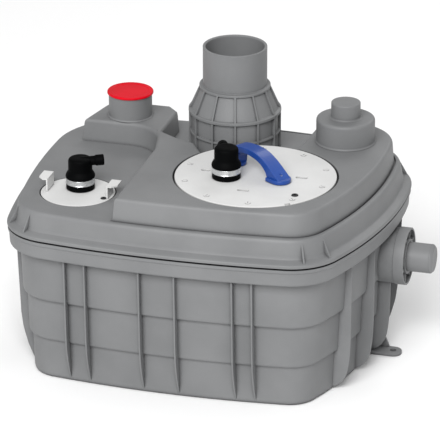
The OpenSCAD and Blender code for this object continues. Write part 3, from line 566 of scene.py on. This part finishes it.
# %% [markdown]
# The third way of starting a piece is a stack of rings. The first ring is a filled face, and each
# further one is an extrusion whose points are then set on the plan at the next inset and height.
# A number kept on every point says which place of the plan it belongs to.

# %% A stack of rings


def skin(name, rings):
    """A closed solid from rings of (inset, height), extruded one after the other."""
    piece = outline_on(name, [(x, y, rings[0][1]) for x, y in plan(rings[0][0])])
    mesh = edit(piece, "FACE")
    spot = mesh.verts.layers.int.new("spot")
    for number, vert in enumerate(sorted(mesh.verts, key=lambda v: v.index)):
        vert[spot] = number
    for inset, height in rings[1:]:
        bpy.ops.mesh.extrude_region_move()
        mesh = bmesh.from_edit_mesh(piece.data)
        spot = mesh.verts.layers.int["spot"]
        places = plan(inset)
        for vert in mesh.verts:
            if vert.select:
                vert.co = Vector((*places[vert[spot]], height)) * MM
    mesh.verts.layers.int.remove(spot)
    close_edit()
    return piece


print("ring helper ready")

# %% [markdown]
# The tank is one moulded skin: it goes up the outside over two steps and the rim band, turns in
# at the rim and comes down the inside to the floor. It could be sculpted from a box, but a stack
# of rings on one plan keeps every step parallel, as a mould does. Rounding the path before it is
# used gives each step the soft shoulder that catches the light.

# %% Tank shell
TANK_PATH = [
    (46, 0), (42, 2.5), (40.5, 8), (38.5, STEP_LOW - 3), (37, STEP_LOW - 0.5),
    (33.5, STEP_LOW), (32.5, STEP_LOW + 3), (30.5, STEP_HIGH - 3), (29, STEP_HIGH - 0.5),
    (24.5, STEP_HIGH), (23.5, STEP_HIGH + 3), (20.5, BAND - 3), (18.5, BAND - 0.5),
    (4.5, BAND), (3, BAND + 2.5), (2, RIM - 10), (0, RIM - 8), (0, RIM - 3), (9, RIM - 3),
    (9, BAND + WALL), (20.5 + WALL, BAND + WALL - 1), (24 + WALL, STEP_HIGH + WALL + 3),
    (30.5 + WALL, STEP_HIGH + WALL), (32.5 + WALL, STEP_LOW + WALL + 3),
    (38.5 + WALL, STEP_LOW + WALL), (40.5 + WALL, WALL + 8), (48.5 + WALL, WALL)]
tank = skin("moulded_tank", eased(TANK_PATH, 1.2, 2, closed=False))
print("tank rings on", len(TANK_PATH), "levels")

# %% [markdown]
# Thin upright fins stiffen the walls. On the real tank each one is a keel at the foot that sweeps
# out until it is as deep as the rim band. Three of the four on the right wall keep their depth
# almost down to the floor. One fin of each kind is modelled in the plane through the wall, gets its
# rounded edge, and is copied to every place before all of them are welded on at once.

# %% Fins
FIN_T, FIN_ROOT = 3, 50
FIN_SIDE = [(8, 5), (9.5, 7), (13, 13), (17, 22), (22, 34), (26, 48), (29, 59), (31, 68),
            (34, 92), (40, BAND - 1), (40, BAND + 2), (27, BAND + 2), (27, BAND - 3),
            (23.5, STEP_HIGH + 4), (17, STEP_HIGH - 2), (15, STEP_LOW + 4), (9, STEP_LOW - 2)]
UPRIGHT_SIDE = [(8, 5), (12, 6), (20, 11), (27, 18), (32, 27), (35, 38), (37, 52), (38.5, 70),
                (39.5, 100)] + FIN_SIDE[9:]
fin, upright = [soften(pushed("fin", [(x, -FIN_T / 2, z) for x, z in side], (0, FIN_T, 0)),
                       0.7, 2) for side in (FIN_SIDE, UPRIGHT_SIDE)]
fins = [twin(fin, move(x, wall_at(i, x, FIN_ROOT), 0, turn))
        for x in (-183, -147, -52, 9, 106, 139) for i, turn in ((0, -90), (2, 90))]
fins += [twin(kind, move(wall_at(1, y, FIN_ROOT), y))
         for kind, y in ((upright, -122), (upright, -42), (upright, 38), (fin, 120))]
fins += [twin(fin, move(wall_at(3, y, FIN_ROOT), y, 0, 180)) for y in (-156, -122, -42, 60)]
print("fins:", len(fins))
bpy.data.objects.remove(fin)
bpy.data.objects.remove(upright)
carve(tank, joined(fins), "UNION")

# %% [markdown]
# A lug at each end holds the tank to the floor. It is a flat tongue with a round tip and one
# hole, and a small rib runs from it up the wall. The tongue is drawn once for the right end and
# mirrored for the left one, where the faces have to be turned outwards again.

# %% Floor lugs
LUG_Y, LUG_ROOT, LUG_REACH, LUG_HALF = 43, 40, 35, 15
tip = [(LUG_REACH + LUG_HALF * math.cos(a), LUG_HALF * math.sin(a)) for a in
       [math.radians(-90 + 180 * k / 16) for k in range(17)]]
lug = pushed("lug", [(x, y, 0) for x, y in [(-8, -LUG_HALF)] + tip + [(-8, LUG_HALF)]], (0, 0, 6))
soften(lug, 0.8)
rib = pushed("lug_rib", [(-8, 11, 0.5), (25, 11, 0.5), (26, 11, 6), (18, 11, 26), (-8, 11, 26)],
             (0, 4, 0))
carve(lug, soften(rib, 0.5), "UNION")
carve(lug, turned("lug_hole", [(0, -1), (6.5, -1), (5.5, 0.5), (5.5, 5.3), (6.5, 7), (0, 7)],
                  (LUG_REACH, 0, 0), steps=32))
mirror = Matrix.Scale(-1, 4, (1, 0, 0))
carve(tank, twin(lug, move(wall_at(3, LUG_Y, LUG_ROOT), LUG_Y) @ mirror), "UNION")
carve(tank, twin(lug, move(wall_at(1, LUG_Y, LUG_ROOT), LUG_Y)), "UNION")
bpy.data.objects.remove(lug)
print("tank faces with lugs:", len(tank.data.polygons))

# %% [markdown]
# The boss for the outlet is a short drum on the right wall, with a bore through it and a wider
# mouth for the seal. It is spun about a line along X, so the axis and the direction of the profile
# are named once and used again for the hub and the pipe.

# %% Outlet boss
OUT_Y, OUT_Z, OUT_R = 49, 181, 25
HUB_X, HUB_R, HUB_D, OUT_LEN = wall_at(1, OUT_Y, 0), 49, 18, 44
ALONG_X = dict(along=(1, 0, 0), side=(0, 1, 0))
drum_x = wall_at(1, OUT_Y, 31)
drum = turned("drum", eased([(0, 0), (HUB_R - 1.5, 0), (HUB_R - 1.5, HUB_X - drum_x),
                             (0, HUB_X - drum_x)], 0.8), (drum_x, OUT_Y, OUT_Z), **ALONG_X)
carve(tank, drum, "UNION")
bore = turned("bore", [(0, -60), (OUT_R, -60), (OUT_R, -3), (OUT_R + 9, -3), (OUT_R + 9, 7),
                       (0, 7)], (HUB_X, OUT_Y, OUT_Z), **ALONG_X)
carve(tank, bore)
dress(tank, "grey_plastic", "tank", "tank")

# %% [markdown]
# The lid has a rolled flange that covers the seal, a sloping wall, and a lower deck. It is made
# as the tank was, from one path of rings, that starts on its underside and ends on the deck.

# %% Lid shell
LID_PATH = [
    (26 + LID_WALL, DECK - LID_WALL), (20 + LID_WALL, DECK - LID_WALL - 2),
    (13 + LID_WALL, RIM + 13), (12, RIM + 6), (10, RIM), (-1, RIM), (-1, RIM + 5),
    (1, RIM + 6.5), (12, RIM + 11), (13.5, RIM + 15), (18, DECK - 6), (20, DECK - 2), (24, DECK)]
lid = skin("moulded_lid", eased(LID_PATH, 1.5, 3, closed=False))
print("lid rings on", len(LID_PATH), "levels")

# %% [markdown]
# The raised upper deck doesn't follow the whole plan: it stops at the sensor recess, which has one
# bowed corner, and behind the pump plate, where the inlet stands lower. Both limits are drawn as
# outlines that can be moved in or out, so that the hollow underneath can use them too. The places
# of the five fittings on the lid are named here as well.

# %% Outlines of the upper deck
PUMP, SENSOR, INLET = Vector((99, -68, 0)), Vector((-193, -125, 0)), Vector((7, 135, 0))
VENT, STUB = Vector((-182, 141, 0)), Vector((205, 124, 0))
DECK_SPLIT, BOW = -101, 60


def deck_plan(e):
    """Outline of the upper deck, moved inwards by e."""
    bow_x = DECK_SPLIT - 8 - BOW + e
    bow = [(bow_x + BOW * math.cos(math.radians(90 - 9 * i)),
            38 + e + BOW * math.sin(math.radians(90 - 9 * i))) for i in range(10)]
    return ([(DECK_SPLIT + e, -300), (320, -300), (320, 300), (-90, 300), (-90, 170 - e),
             (-109 - e * 0.7, 183 - e * 0.7), (-126 - e * 0.5, 203 - e), (-222, 203 - e),
             (-234 + e * 0.7, 192 - e * 0.7), (-240 + e, 174), (-256 + e, 98 + e)]
            + bow + [(DECK_SPLIT + e, 5)])


def pocket_plan(e):
    """Outline of the hollow behind the pump plate, grown by e."""
    return [(-106 - e, 300), (-106 - e, 85 - e), (-72 - e, 63 - e), (-37 - e, 48 - e), (0, -15),
            (112, -15), (133 + e, 71), (136 + e, 119), (148 + e, 300)]


print("deck outline points:", len(deck_plan(0)), "and", len(pocket_plan(0)))

# %% [markdown]
# The foot of the deck is a block on the plan, cut by the two outlines. A rim is kept round the
# pump plate. Its walls and rounded edge then grow upwards from that foot by insets, which keeps
# the same edge all the way round, in the inner corners too. Points that lie very close are merged
# first, because an inset would turn a short edge inside out.

# %% Upper deck
NEAR_POINTS, LEVEL = 4 * MM, 1e-5


def upper_deck(name, inset, e, low, high):
    """The foot of the upper deck as a straight-sided block."""
    block = skin(name, [(inset, low), (inset, high)])
    area = pushed("area", [(x, y, low - 9) for x, y in deck_plan(e)], (0, 0, high - low + 18))
    carve(block, area, "INTERSECT")
    pocket = pushed("pocket", [(x, y, low - 9) for x, y in pocket_plan(e)],
                    (0, 0, high - low + 18))
    keep = turned("keep", [(0, low - 12), (143 - e, low - 12), (143 - e, high + 12),
                           (0, high + 12)], PUMP)
    carve(pocket, keep)
    carve(block, pocket)
    edit(block)
    bpy.ops.mesh.remove_doubles(threshold=NEAR_POINTS)
    close_edit()
    return block


def top_face_up(piece, steps):
    """Grow the highest face by steps of (inset, rise) in mm."""
    mesh = edit(piece, "FACE")
    bpy.ops.mesh.select_all(action="DESELECT")
    high = max(v.co.z for v in mesh.verts)
    for face in mesh.faces:
        face.select = all(v.co.z > high - LEVEL for v in face.verts)
    bmesh.update_edit_mesh(piece.data)
    for inset, rise in steps:
        bpy.ops.mesh.inset(thickness=inset * MM, depth=rise * MM, use_even_offset=True)
    close_edit()


deck = upper_deck("deck", 30, 0, DECK - 12, DECK)
top_face_up(deck, [(2.6, 32.5), (0.7, 2.8), (1.3, 2.0), (2.0, 1.2), (2.4, 0.5)])
for place, radius in ((VENT, 33.5), (STUB, 46)):
    carve(deck, turned("hole", [(0, DECK - 24), (radius, DECK - 24), (radius, TOP + 20),
                                (0, TOP + 20)], place))
print("deck faces:", len(deck.data.polygons), "top at",
      round(max(v.co.z for v in deck.data.vertices) / MM, 2), "mm")

# %% [markdown]
# A narrow groove runs along the foot of the upper deck, which reads as a dark line on the front.
# It is cut before the deck is welded on. The hollow under the deck is made from the same foot, and
# it keeps clear of the seat of the pump plate.

# %% Groove and hollow
SEAT_CLEAR = 142
groove = skin("groove", [(26.6, DECK - 3), (26.6, DECK + 6)])
carve(groove, skin("core", [(29.8, DECK - 6), (29.8, DECK + 9)]))
area = pushed("area", [(x, y, DECK - 12) for x, y in deck_plan(-3)], (0, 0, 30))
carve(groove, area, "INTERSECT")
carve(lid, groove)
carve(lid, deck, "UNION")
hollow = upper_deck("hollow", 36, 5, DECK - 30, TOP - 4)
keep = turned("keep", [(0, DECK - 60), (SEAT_CLEAR, DECK - 60), (SEAT_CLEAR, TOP + 10),
                       (0, TOP + 10)], PUMP)
carve(hollow, keep)
carve(lid, hollow)
print("lid faces with the deck:", len(lid.data.polygons))

# %% [markdown]
# The two seats are stepped holes with a small lead-in that the round plates drop into. The sensor
# stands on the thin lower deck, so its seat first gets a thicker boss. The inlet has a plain hole.

# %% Seats and inlet hole
boss = turned("boss", [(0, DECK - 13), (68, DECK - 13), (68, DECK - 2), (0, DECK - 2)], SENSOR)
carve(lid, boss, "UNION")
PUMP_SEAT, SENSOR_SEAT = TOP - 10, DECK - 7
carve(lid, turned("pump_seat", [
    (0, 270), (138.5, 270), (138.5, PUMP_SEAT - 8), (121, PUMP_SEAT - 8), (121, PUMP_SEAT),
    (138, PUMP_SEAT), (138, TOP - 1.6), (138.5, TOP - 0.6), (140, TOP + 0.3), (140, TOP + 30),
    (0, TOP + 30)], PUMP, steps=128))
carve(lid, turned("sensor_seat", [
    (0, 270), (50, 270), (50, SENSOR_SEAT), (64, SENSOR_SEAT), (64, DECK - 1.2),
    (64.4, DECK - 0.4), (65.5, DECK + 0.3), (65.5, DECK + 20), (0, DECK + 20)], SENSOR))
carve(lid, turned("hole", [(0, DECK - 24), (67, DECK - 24), (67, DECK + 20),
                           (0, DECK + 20)], INLET))
print("lid faces with the seats:", len(lid.data.polygons))

# %% [markdown]
# Two thin gussets tie the lid wall to the flange at each corner. They are flat plates, so one is
# drawn in profile, its edges are broken, and it is copied and turned to eight places.

# %% Corner gussets
GUSSET = [(2.5, 36), (4.5, 36.5), (12, 23), (19, 10), (20, 3), (11, 3), (7.5, 13)]
gusset = soften(pushed("gusset", [(x, -1.5, z) for x, z in GUSSET], (0, 3, 0)), 0.5)
gussets = []
for i, centre in enumerate(CORNERS):
    for swing in (-16, 16):
        turn = math.degrees(math.atan2(SIDES[i][1], SIDES[i][0])) + swing
        reach = CORNER_RADII[i] - 22
        gussets.append(twin(gusset, move(centre.x + reach * math.cos(math.radians(turn)),
                                         centre.y + reach * math.sin(math.radians(turn)),
                                         RIM, turn)))
bpy.data.objects.remove(gusset)
carve(lid, joined(gussets), "UNION")
dress(lid, "grey_plastic", "tank", "lid")

# %% [markdown]
# The open inlet is a round reducer: a wide cylinder with two bands, a cone, a collar and a plain
# pipe. All of that is one profile spun round the pipe's axis, wall thickness included. The twelve
# upright ribs are one flat plate, copied round the same axis and welded on.

# %% Inlet reducer
reducer = turned("inlet_reducer_body", eased([
    (70, 0), (77, 0), (77, 3), (74, 3), (74, 34), (77.5, 34), (77.5, 38), (74, 38), (74, 69),
    (79.5, 70), (79.5, 75), (74, 76), (58, 113), (61, 114), (61, 118), (55, 119), (55, 187),
    (51, 187), (50, 185.5), (50, 115), (70, 73)], 0.9), above(INLET, DECK))
rib = soften(pushed("reducer_rib", [
    (INLET.x + x, INLET.y - 1.5, DECK + z) for x, z in
    [(72, 0.6), (79, 0.6), (79, 74), (60.5, 116), (56, 115), (72, 74)]], (0, 3, 0)), 0.6)
carve(reducer, around(rib, 12, INLET, first=-74.3), "UNION")
dress(reducer, "grey_plastic", "tank", "inlet_reducer")

# %% [markdown]
# The vent is a plain socket with a lift-off red cap. The cap's skirt has to stay clear of the
# socket wall, so both keep the radii of the solids. The closed stub beside the inlet is two
# rounded steps, hollow underneath.

# %% Vent, cap and closed stub
SOCKET_H = 41
socket = turned("vent_socket_body", eased([
    (34, 0), (39.5, 0), (37.5, 2.2), (37.5, SOCKET_H), (34, SOCKET_H)], 0.5), above(VENT, TOP))
dress(socket, "grey_plastic", "tank", "vent_socket")
cap = turned("vent_cap_body", eased([
    (0, 0), (28.5, 0), (28.5, -14), (33.4, -14), (33.7, 0), (40, 0), (40, 2.6), (38.8, 4),
    (32.5, 4), (31.5, 3.2), (0, 3.2)], 0.5), above(VENT, TOP + SOCKET_H))
dress(cap, "red_plastic", "vent_cap", "vent_cap")
stub = turned("stub_body", eased([
    (0, 71), (0, 67), (21, 67), (21, 39), (46, 39), (46, 0), (52.5, 0), (50, 2.5), (50, 43, 6),
    (27, 43), (25, 45), (25, 71, 3)], 1.5, 5), above(STUB, TOP))
dress(stub, "grey_plastic", "tank", "blanked_inlet")

# %% [markdown]
# The outlet sits in a ribbed hub: a disc with an outer and an inner wall and eight webs between
# them, which read as dark pockets. The pipe goes through it and ends in a closed, chamfered end
# that an installer would cut off.

# %% Outlet hub, pipe and closed end
hub_at = Vector((HUB_X, OUT_Y, OUT_Z))
hub = turned("outlet_hub_body", eased([
    (OUT_R, 0), (HUB_R, 0), (HUB_R, HUB_D), (45.5, HUB_D), (45.5, 4), (30, 4), (30, HUB_D),
    (OUT_R, HUB_D)], 0.7), hub_at, **ALONG_X)
web = soften(pushed("web", [(HUB_X + 2, OUT_Y - 1.5, OUT_Z - r) for r in (28, 47)]
                    + [(HUB_X + 16, OUT_Y - 1.5, OUT_Z - r) for r in (47, 28)], (0, 3, 0)), 0.4)
carve(hub, around(web, 8, hub_at, (1, 0, 0), 22.5), "UNION")
hole = turned("hub_hole", [(0, -1), (3, -1), (3, 6), (0, 6)], above(hub_at, -39),
              steps=24, **ALONG_X)
carve(hub, around(hole, 4, hub_at, (1, 0, 0)))
dress(hub, "grey_plastic", "tank", "outlet_hub")
PIPE_FROM, PIPE_END = PUMP.x + 165, HUB_X + HUB_D + OUT_LEN
pipe = turned("outlet_pipe_body", eased([
    (21.5, PIPE_FROM), (24.7, PIPE_FROM), (24.7, HUB_X + HUB_D), (OUT_R, HUB_X + HUB_D),
    (OUT_R, PIPE_END - 6), (21.5, PIPE_END - 6)], 0.1), (0, OUT_Y, OUT_Z), **ALONG_X)
dress(pipe, "grey_plastic", "tank", "outlet_pipe")
end = turned("outlet_end_body", eased([
    (0, -20), (21.2, -20), (21.2, -6), (OUT_R, -6), (OUT_R, -4), (21, 0), (0, 0)], 0.6),
    (PIPE_END, OUT_Y, OUT_Z), **ALONG_X)
dress(end, "grey_plastic", "tank", "outlet_plug")

# %% [markdown]
# The pump hangs under a round white plate. The plate is turned together with the bearing boss
# below it. The spigot for the rubber boot and the ten screw wells are then added and cut, because
# they aren't round about the plate's axis.

# %% Pump plate
PLATE_T = 7
plate_at = above(PUMP, TOP - PLATE_T)
plate = turned("pump_plate_body", eased([
    (0, -11), (10, -11), (10, -32), (20, -32), (20, -48), (26, -48), (26, 0), (135, 0),
    (135, 6), (134, 7), (0, 7)], 0.5), plate_at, steps=144)


def on_plate(angle, radius):
    """A point on the top of the pump plate by angle and radius."""
    return PUMP + Vector((radius * math.cos(math.radians(angle)),
                          radius * math.sin(math.radians(angle)), TOP))


BOOT = PUMP + Vector((-45, -20, TOP))
carve(plate, turned("spigot", eased([(0, -3), (18, -3), (18, 20), (0, 20)], 0.6), BOOT), "UNION")
carve(plate, turned("cable_way", [(0, -9), (12, -9), (12, 24), (0, 24)], BOOT))
well = turned("well", [(0, -9), (2.7, -9), (2.7, 6), (0, 6)], on_plate(0, 120), steps=24)
carve(plate, around(well, 10, PUMP, first=171))
print("plate faces:", len(plate.data.polygons))

# %% [markdown]
# The plate also has a well for one dark screw, three shallow finger slots and a notch at the rim.
# A slot is an outline with two round ends, drawn from one formula and cut a few mm deep.

# %% Slots in the pump plate
carve(plate, turned("screw_well", [(0, -3), (5.4, -3), (5.4, -0.6), (6.2, 0.2), (6.2, 4), (0, 4)],
                    on_plate(-38, 107), steps=48))


def finger_slot(x, y, length, width, depth=3):
    """Cut a shallow round-ended slot into the plate."""
    half, r = (length - width) / 2, width / 2
    ends = [(half * (1 if a < 12 else -1) + r * math.sin(math.pi * (a if a < 12 else a - 1) / 11),
             -r * math.cos(math.pi * (a if a < 12 else a - 1) / 11)) for a in range(24)]
    slot = pushed("slot", [(PUMP.x + x + u, PUMP.y + y + v, TOP - depth) for u, v in ends],
                  (0, 0, depth + 2))
    carve(plate, slot)


finger_slot(-86, 0, 17, 9)
finger_slot(-3, -68, 21, 10)
finger_slot(76, 11, 21, 10)
notch = pushed("notch", [(130, -5, -9), (145, -5, -9), (145, 5, -9), (130, 5, -9)], (0, 0, 12))
carve(plate, twin(notch, move(PUMP.x, PUMP.y, TOP, -52)))
bpy.data.objects.remove(notch)
dress(plate, "white_plate", "pump_module", "pump_plate")

# %% [markdown]
# The lifting handle is an arch of solid plastic on two feet. Its side view is drawn once, rounded,
# pushed across the width of the grip, and its edges get a generous bevel that a hand would want.
# The feet are separate rounded pads, welded to it before the whole is turned to its angle.

# %% Lifting handle
HANDLE_W, PAD_HALF = 27, 18
GRIP = [(-62, 0.5), (-62, 19), (-59, 27), (-53, 34), (-44, 38), (-30, 40), (-12, 41), (4, 40),
        (18, 36), (32, 29), (46, 20), (60, 10), (66, 6), (66, 0.5), (36, 0.5), (34, 8), (29, 16),
        (20, 23), (8, 28), (-8, 31), (-24, 31), (-34, 28), (-40, 21), (-43, 11), (-43, 0.5)]
handle = soften(pushed("lifting_handle_body", [(x, -HANDLE_W / 2, z) for x, z in
                                               eased(GRIP, 5, 2)], (0, HANDLE_W, 0)), 1.8, 3, 50)
pad = [(36, -PAD_HALF), (54, -PAD_HALF)]
pad += [(54 + PAD_HALF * math.sin(math.radians(a)), -PAD_HALF * math.cos(math.radians(a)))
        for a in range(10, 171, 10)]
pad += [(54, PAD_HALF), (36, PAD_HALF)]
carve(handle, soften(pushed("front_pad", [(x, y, 0) for x, y in pad], (0, 0, 7)), 1.6, 3),
      "UNION", True)
carve(handle, turned("rear_pad", eased([(0, 0), (15, 0), (15, 5), (0, 5)], 1.6), (-52, 0, 0)),
      "UNION", True)
for x in (-52, 56):
    carve(handle, turned("screw_hole", [(0, -1), (2.5, -1), (2.5, 14), (0, 14)], (x, 0, 0),
                         steps=24))
handle = settled(handle, "lifting_handle_body", move(PUMP.x + 1, PUMP.y + 14, TOP, -33))
dress(handle, "blue_plastic", "pump_module", "lifting_handle")

# %% [markdown]
# Both cable entries wear the same rubber elbow boot. The boot is turned, its spout is a second
# turned piece along a leaning axis, and the inside is hollowed for the spigot and the cable. One
# function makes both, since only the place, the angle and the lean of the spout differ. The motor's
# boot comes first, and the sensor's follows in the next cell.

# %% Rubber boots
SPOUT_H, SPOUT_LEN = 47, 40


def boot(name, at, turn, body, node, lean=84):
    """An elbow boot standing at a place, with its spout turned and leaned from the vertical."""
    lean, swing = math.radians(lean), math.radians(turn)
    along = Vector((math.sin(lean) * math.cos(swing), math.sin(lean) * math.sin(swing),
                    math.cos(lean)))
    side = Vector((-math.sin(swing), math.cos(swing), 0))
    rubber = turned(name, eased([
        (0, 0), (24, 0), (24, 9.5), (23, 10), (23, 20), (24.8, 20.5), (24.8, 24), (23, 28),
        (20.2, 32), (20.2, 49), (19.4, 52), (17, 54), (12, 55), (0, 55)], 1.6, 4), at)
    root = above(at, SPOUT_H)
    spout = turned("spout", eased([
        (0, 0), (8, 0), (8, 25), (9.2, 26.5), (9.2, SPOUT_LEN - 1), (8.2, SPOUT_LEN),
        (0, SPOUT_LEN)], 0.8), root, along, side, 48)
    carve(rubber, spout, "UNION")
    carve(rubber, turned("hollow", [(0, -1), (18.3, -1), (18.3, 20.3), (14, 20.3), (14, 50),
                                    (0, 50)], at))
    carve(rubber, turned("cable_hole", [(0, 0), (4.5, 0), (4.5, SPOUT_LEN - 1), (6, 46),
                                        (0, 46)], root, along, side, 32))
    dress(rubber, "black_rubber", body, node, angle=40)


boot("motor_boot_body", BOOT, 115, "pump_module", "motor_boot", lean=98)

# %% [markdown]
# A steel band with a worm screw clamps each boot to its spigot. The band is turned with rolled
# edges, thirty fine slots are cut for the worm, and a housing with its screw head is joined to it.
# Joining only makes them one object. They aren't welded, as a real clamp has loose pieces too. The
# sensor's boot and band are then made by the same two functions.

# %% Steel bands


def band(name, at, turn, body, node):
    """A steel band with rolled edges, fine worm slots and a screw housing."""
    strap = turned(name, eased([
        (23.3, 0.2), (24.5, 0.2), (24.7, 0.8), (24.2, 1.6), (24.2, 8.4), (24.7, 9.2),
        (24.5, 9.8), (23.3, 9.8)], 0.3), (0, 0, 0), steps=120)
    slot = pushed("worm_slot", [(23.9, -0.45, 2.4), (25.5, -0.45, 2.4), (25.5, 0.45, 2.4),
                                (23.9, 0.45, 2.4)], (0, 0, 5.2))
    slots = [twin(slot, move(turn=-110 + 4.6 * k)) for k in range(30)]
    bpy.data.objects.remove(slot)
    carve(strap, joined(slots))
    house = soften(pushed("house", [(-9, 22, 1.5), (9, 22, 1.5), (9, 28, 1.5), (-9, 28, 1.5)],
                          (0, 0, 7)), 1.2, 3)
    carve(house, turned("clear", [(0, 0), (24.3, 0), (24.3, 12), (0, 12)]))
    screw = turned("screw", eased([(0, 0), (2.6, 0), (2.6, 5), (0, 5)], 0.5), (-13, 25.5, 5),
                   (1, 0, 0), (0, 1, 0), 6)
    clamp = settled(joined([strap, house, screw]), name, move(at.x, at.y, at.z + 10, turn))
    dress(clamp, "steel", body, node)


band("motor_boot_band", BOOT, 40, "pump_module", "motor_boot_clamp")
SENSOR_BOOT = SENSOR + Vector((-1, 17, DECK))
boot("sensor_boot_body", SENSOR_BOOT, 15, "sensor_module", "sensor_boot")
band("sensor_boot_band", SENSOR_BOOT, 20, "sensor_module", "sensor_boot_clamp")

# %% [markdown]
# The level sensor hangs under a small white plate. It is turned, and it has the same kind of
# spigot as the pump plate and a well for one dark screw.

# %% Sensor plate
small = turned("sensor_plate_body", eased([
    (0, -5), (62.5, -5), (62.5, -0.9), (61.6, 0), (0, 0)], 0.4), above(SENSOR, DECK),
    steps=120)
carve(small, turned("spigot", eased([(0, -2), (18, -2), (18, 20), (0, 20)], 0.6), SENSOR_BOOT),
      "UNION")
carve(small, turned("cable_way", [(0, -7), (12, -7), (12, 24), (0, 24)], SENSOR_BOOT))
carve(small, turned("screw_well", [(0, -3), (5, -3), (5, -0.5), (5.7, 0.2), (5.7, 3), (0, 3)],
                    SENSOR + Vector((50, -17, DECK)), steps=48))
dress(small, "white_plate", "sensor_module", "sensor_plate")

# %% [markdown]
# Two upright hooks stand on the sensor plate, with flat tabs that a cable can be laid over. Leg and
# tab are two pushed outlines, welded and softened at the origin before the hook is moved.

# %% Cable hooks
TAB_Z = 20.1


def hook(name, x, y, side, length, node):
    """An upright leg with a flat tab that points outwards."""
    leg = pushed(name, [(0, 0, 0), (side * 2.4, 0, 0), (side * 2.4, length, 0), (0, length, 0)],
                 (0, 0, 22.5))
    tab = pushed("tab", [(0, 0.01, TAB_Z), (side * 8.5, 0.01, TAB_Z), (side * 17, 8.5, TAB_Z),
                         (side * 17, length - 0.01, TAB_Z), (0, length - 0.01, TAB_Z)],
                 (0, 0, 2.39))
    carve(leg, tab, "UNION")
    leg = settled(soften(leg, 0.6), name, move(SENSOR.x + x, SENSOR.y + y, DECK))
    dress(leg, "white_plate", "sensor_module", node)


hook("left_hook_body", -49, -14, -1, 35, "left_hook")
hook("right_hook_body", 55, -18, 1, 32, "right_hook")

# %% [markdown]
# Everything else is a seal, a screw or a part inside the tank, and its solid has the right shape
# already. It shows when a module is lifted out, so each gets a copy of its own solid that is
# merged, has its flat faces cleaned up, and gets smooth round faces. Finish and body are taken
# from the record that comes with the frame.

# %% Inner parts
SLOT_OF = {row["node"]: row["material_slot"] for row in frame["record"]["subparts"]}
BODY_OF = {node: body for body, nodes in frame["record"]["behaviour"]["bodies"].items()
           for node in nodes}
FLAT_ENOUGH = math.radians(0.5)
for node in sorted(set(SLOT_OF) - DONE):
    source = frame["nodes"][node]
    inner = source.copy()
    inner.data = source.data.copy()
    SCENE.collection.objects.link(inner)
    inner.name = inner.data.name = node + "_smooth"
    edit(inner)
    bpy.ops.mesh.remove_doubles(threshold=SAME_SPOT)
    bpy.ops.mesh.dissolve_limited(angle_limit=FLAT_ENOUGH)
    close_edit()
    dress(inner, SLOT_OF[node], BODY_OF[node], node, angle=25)
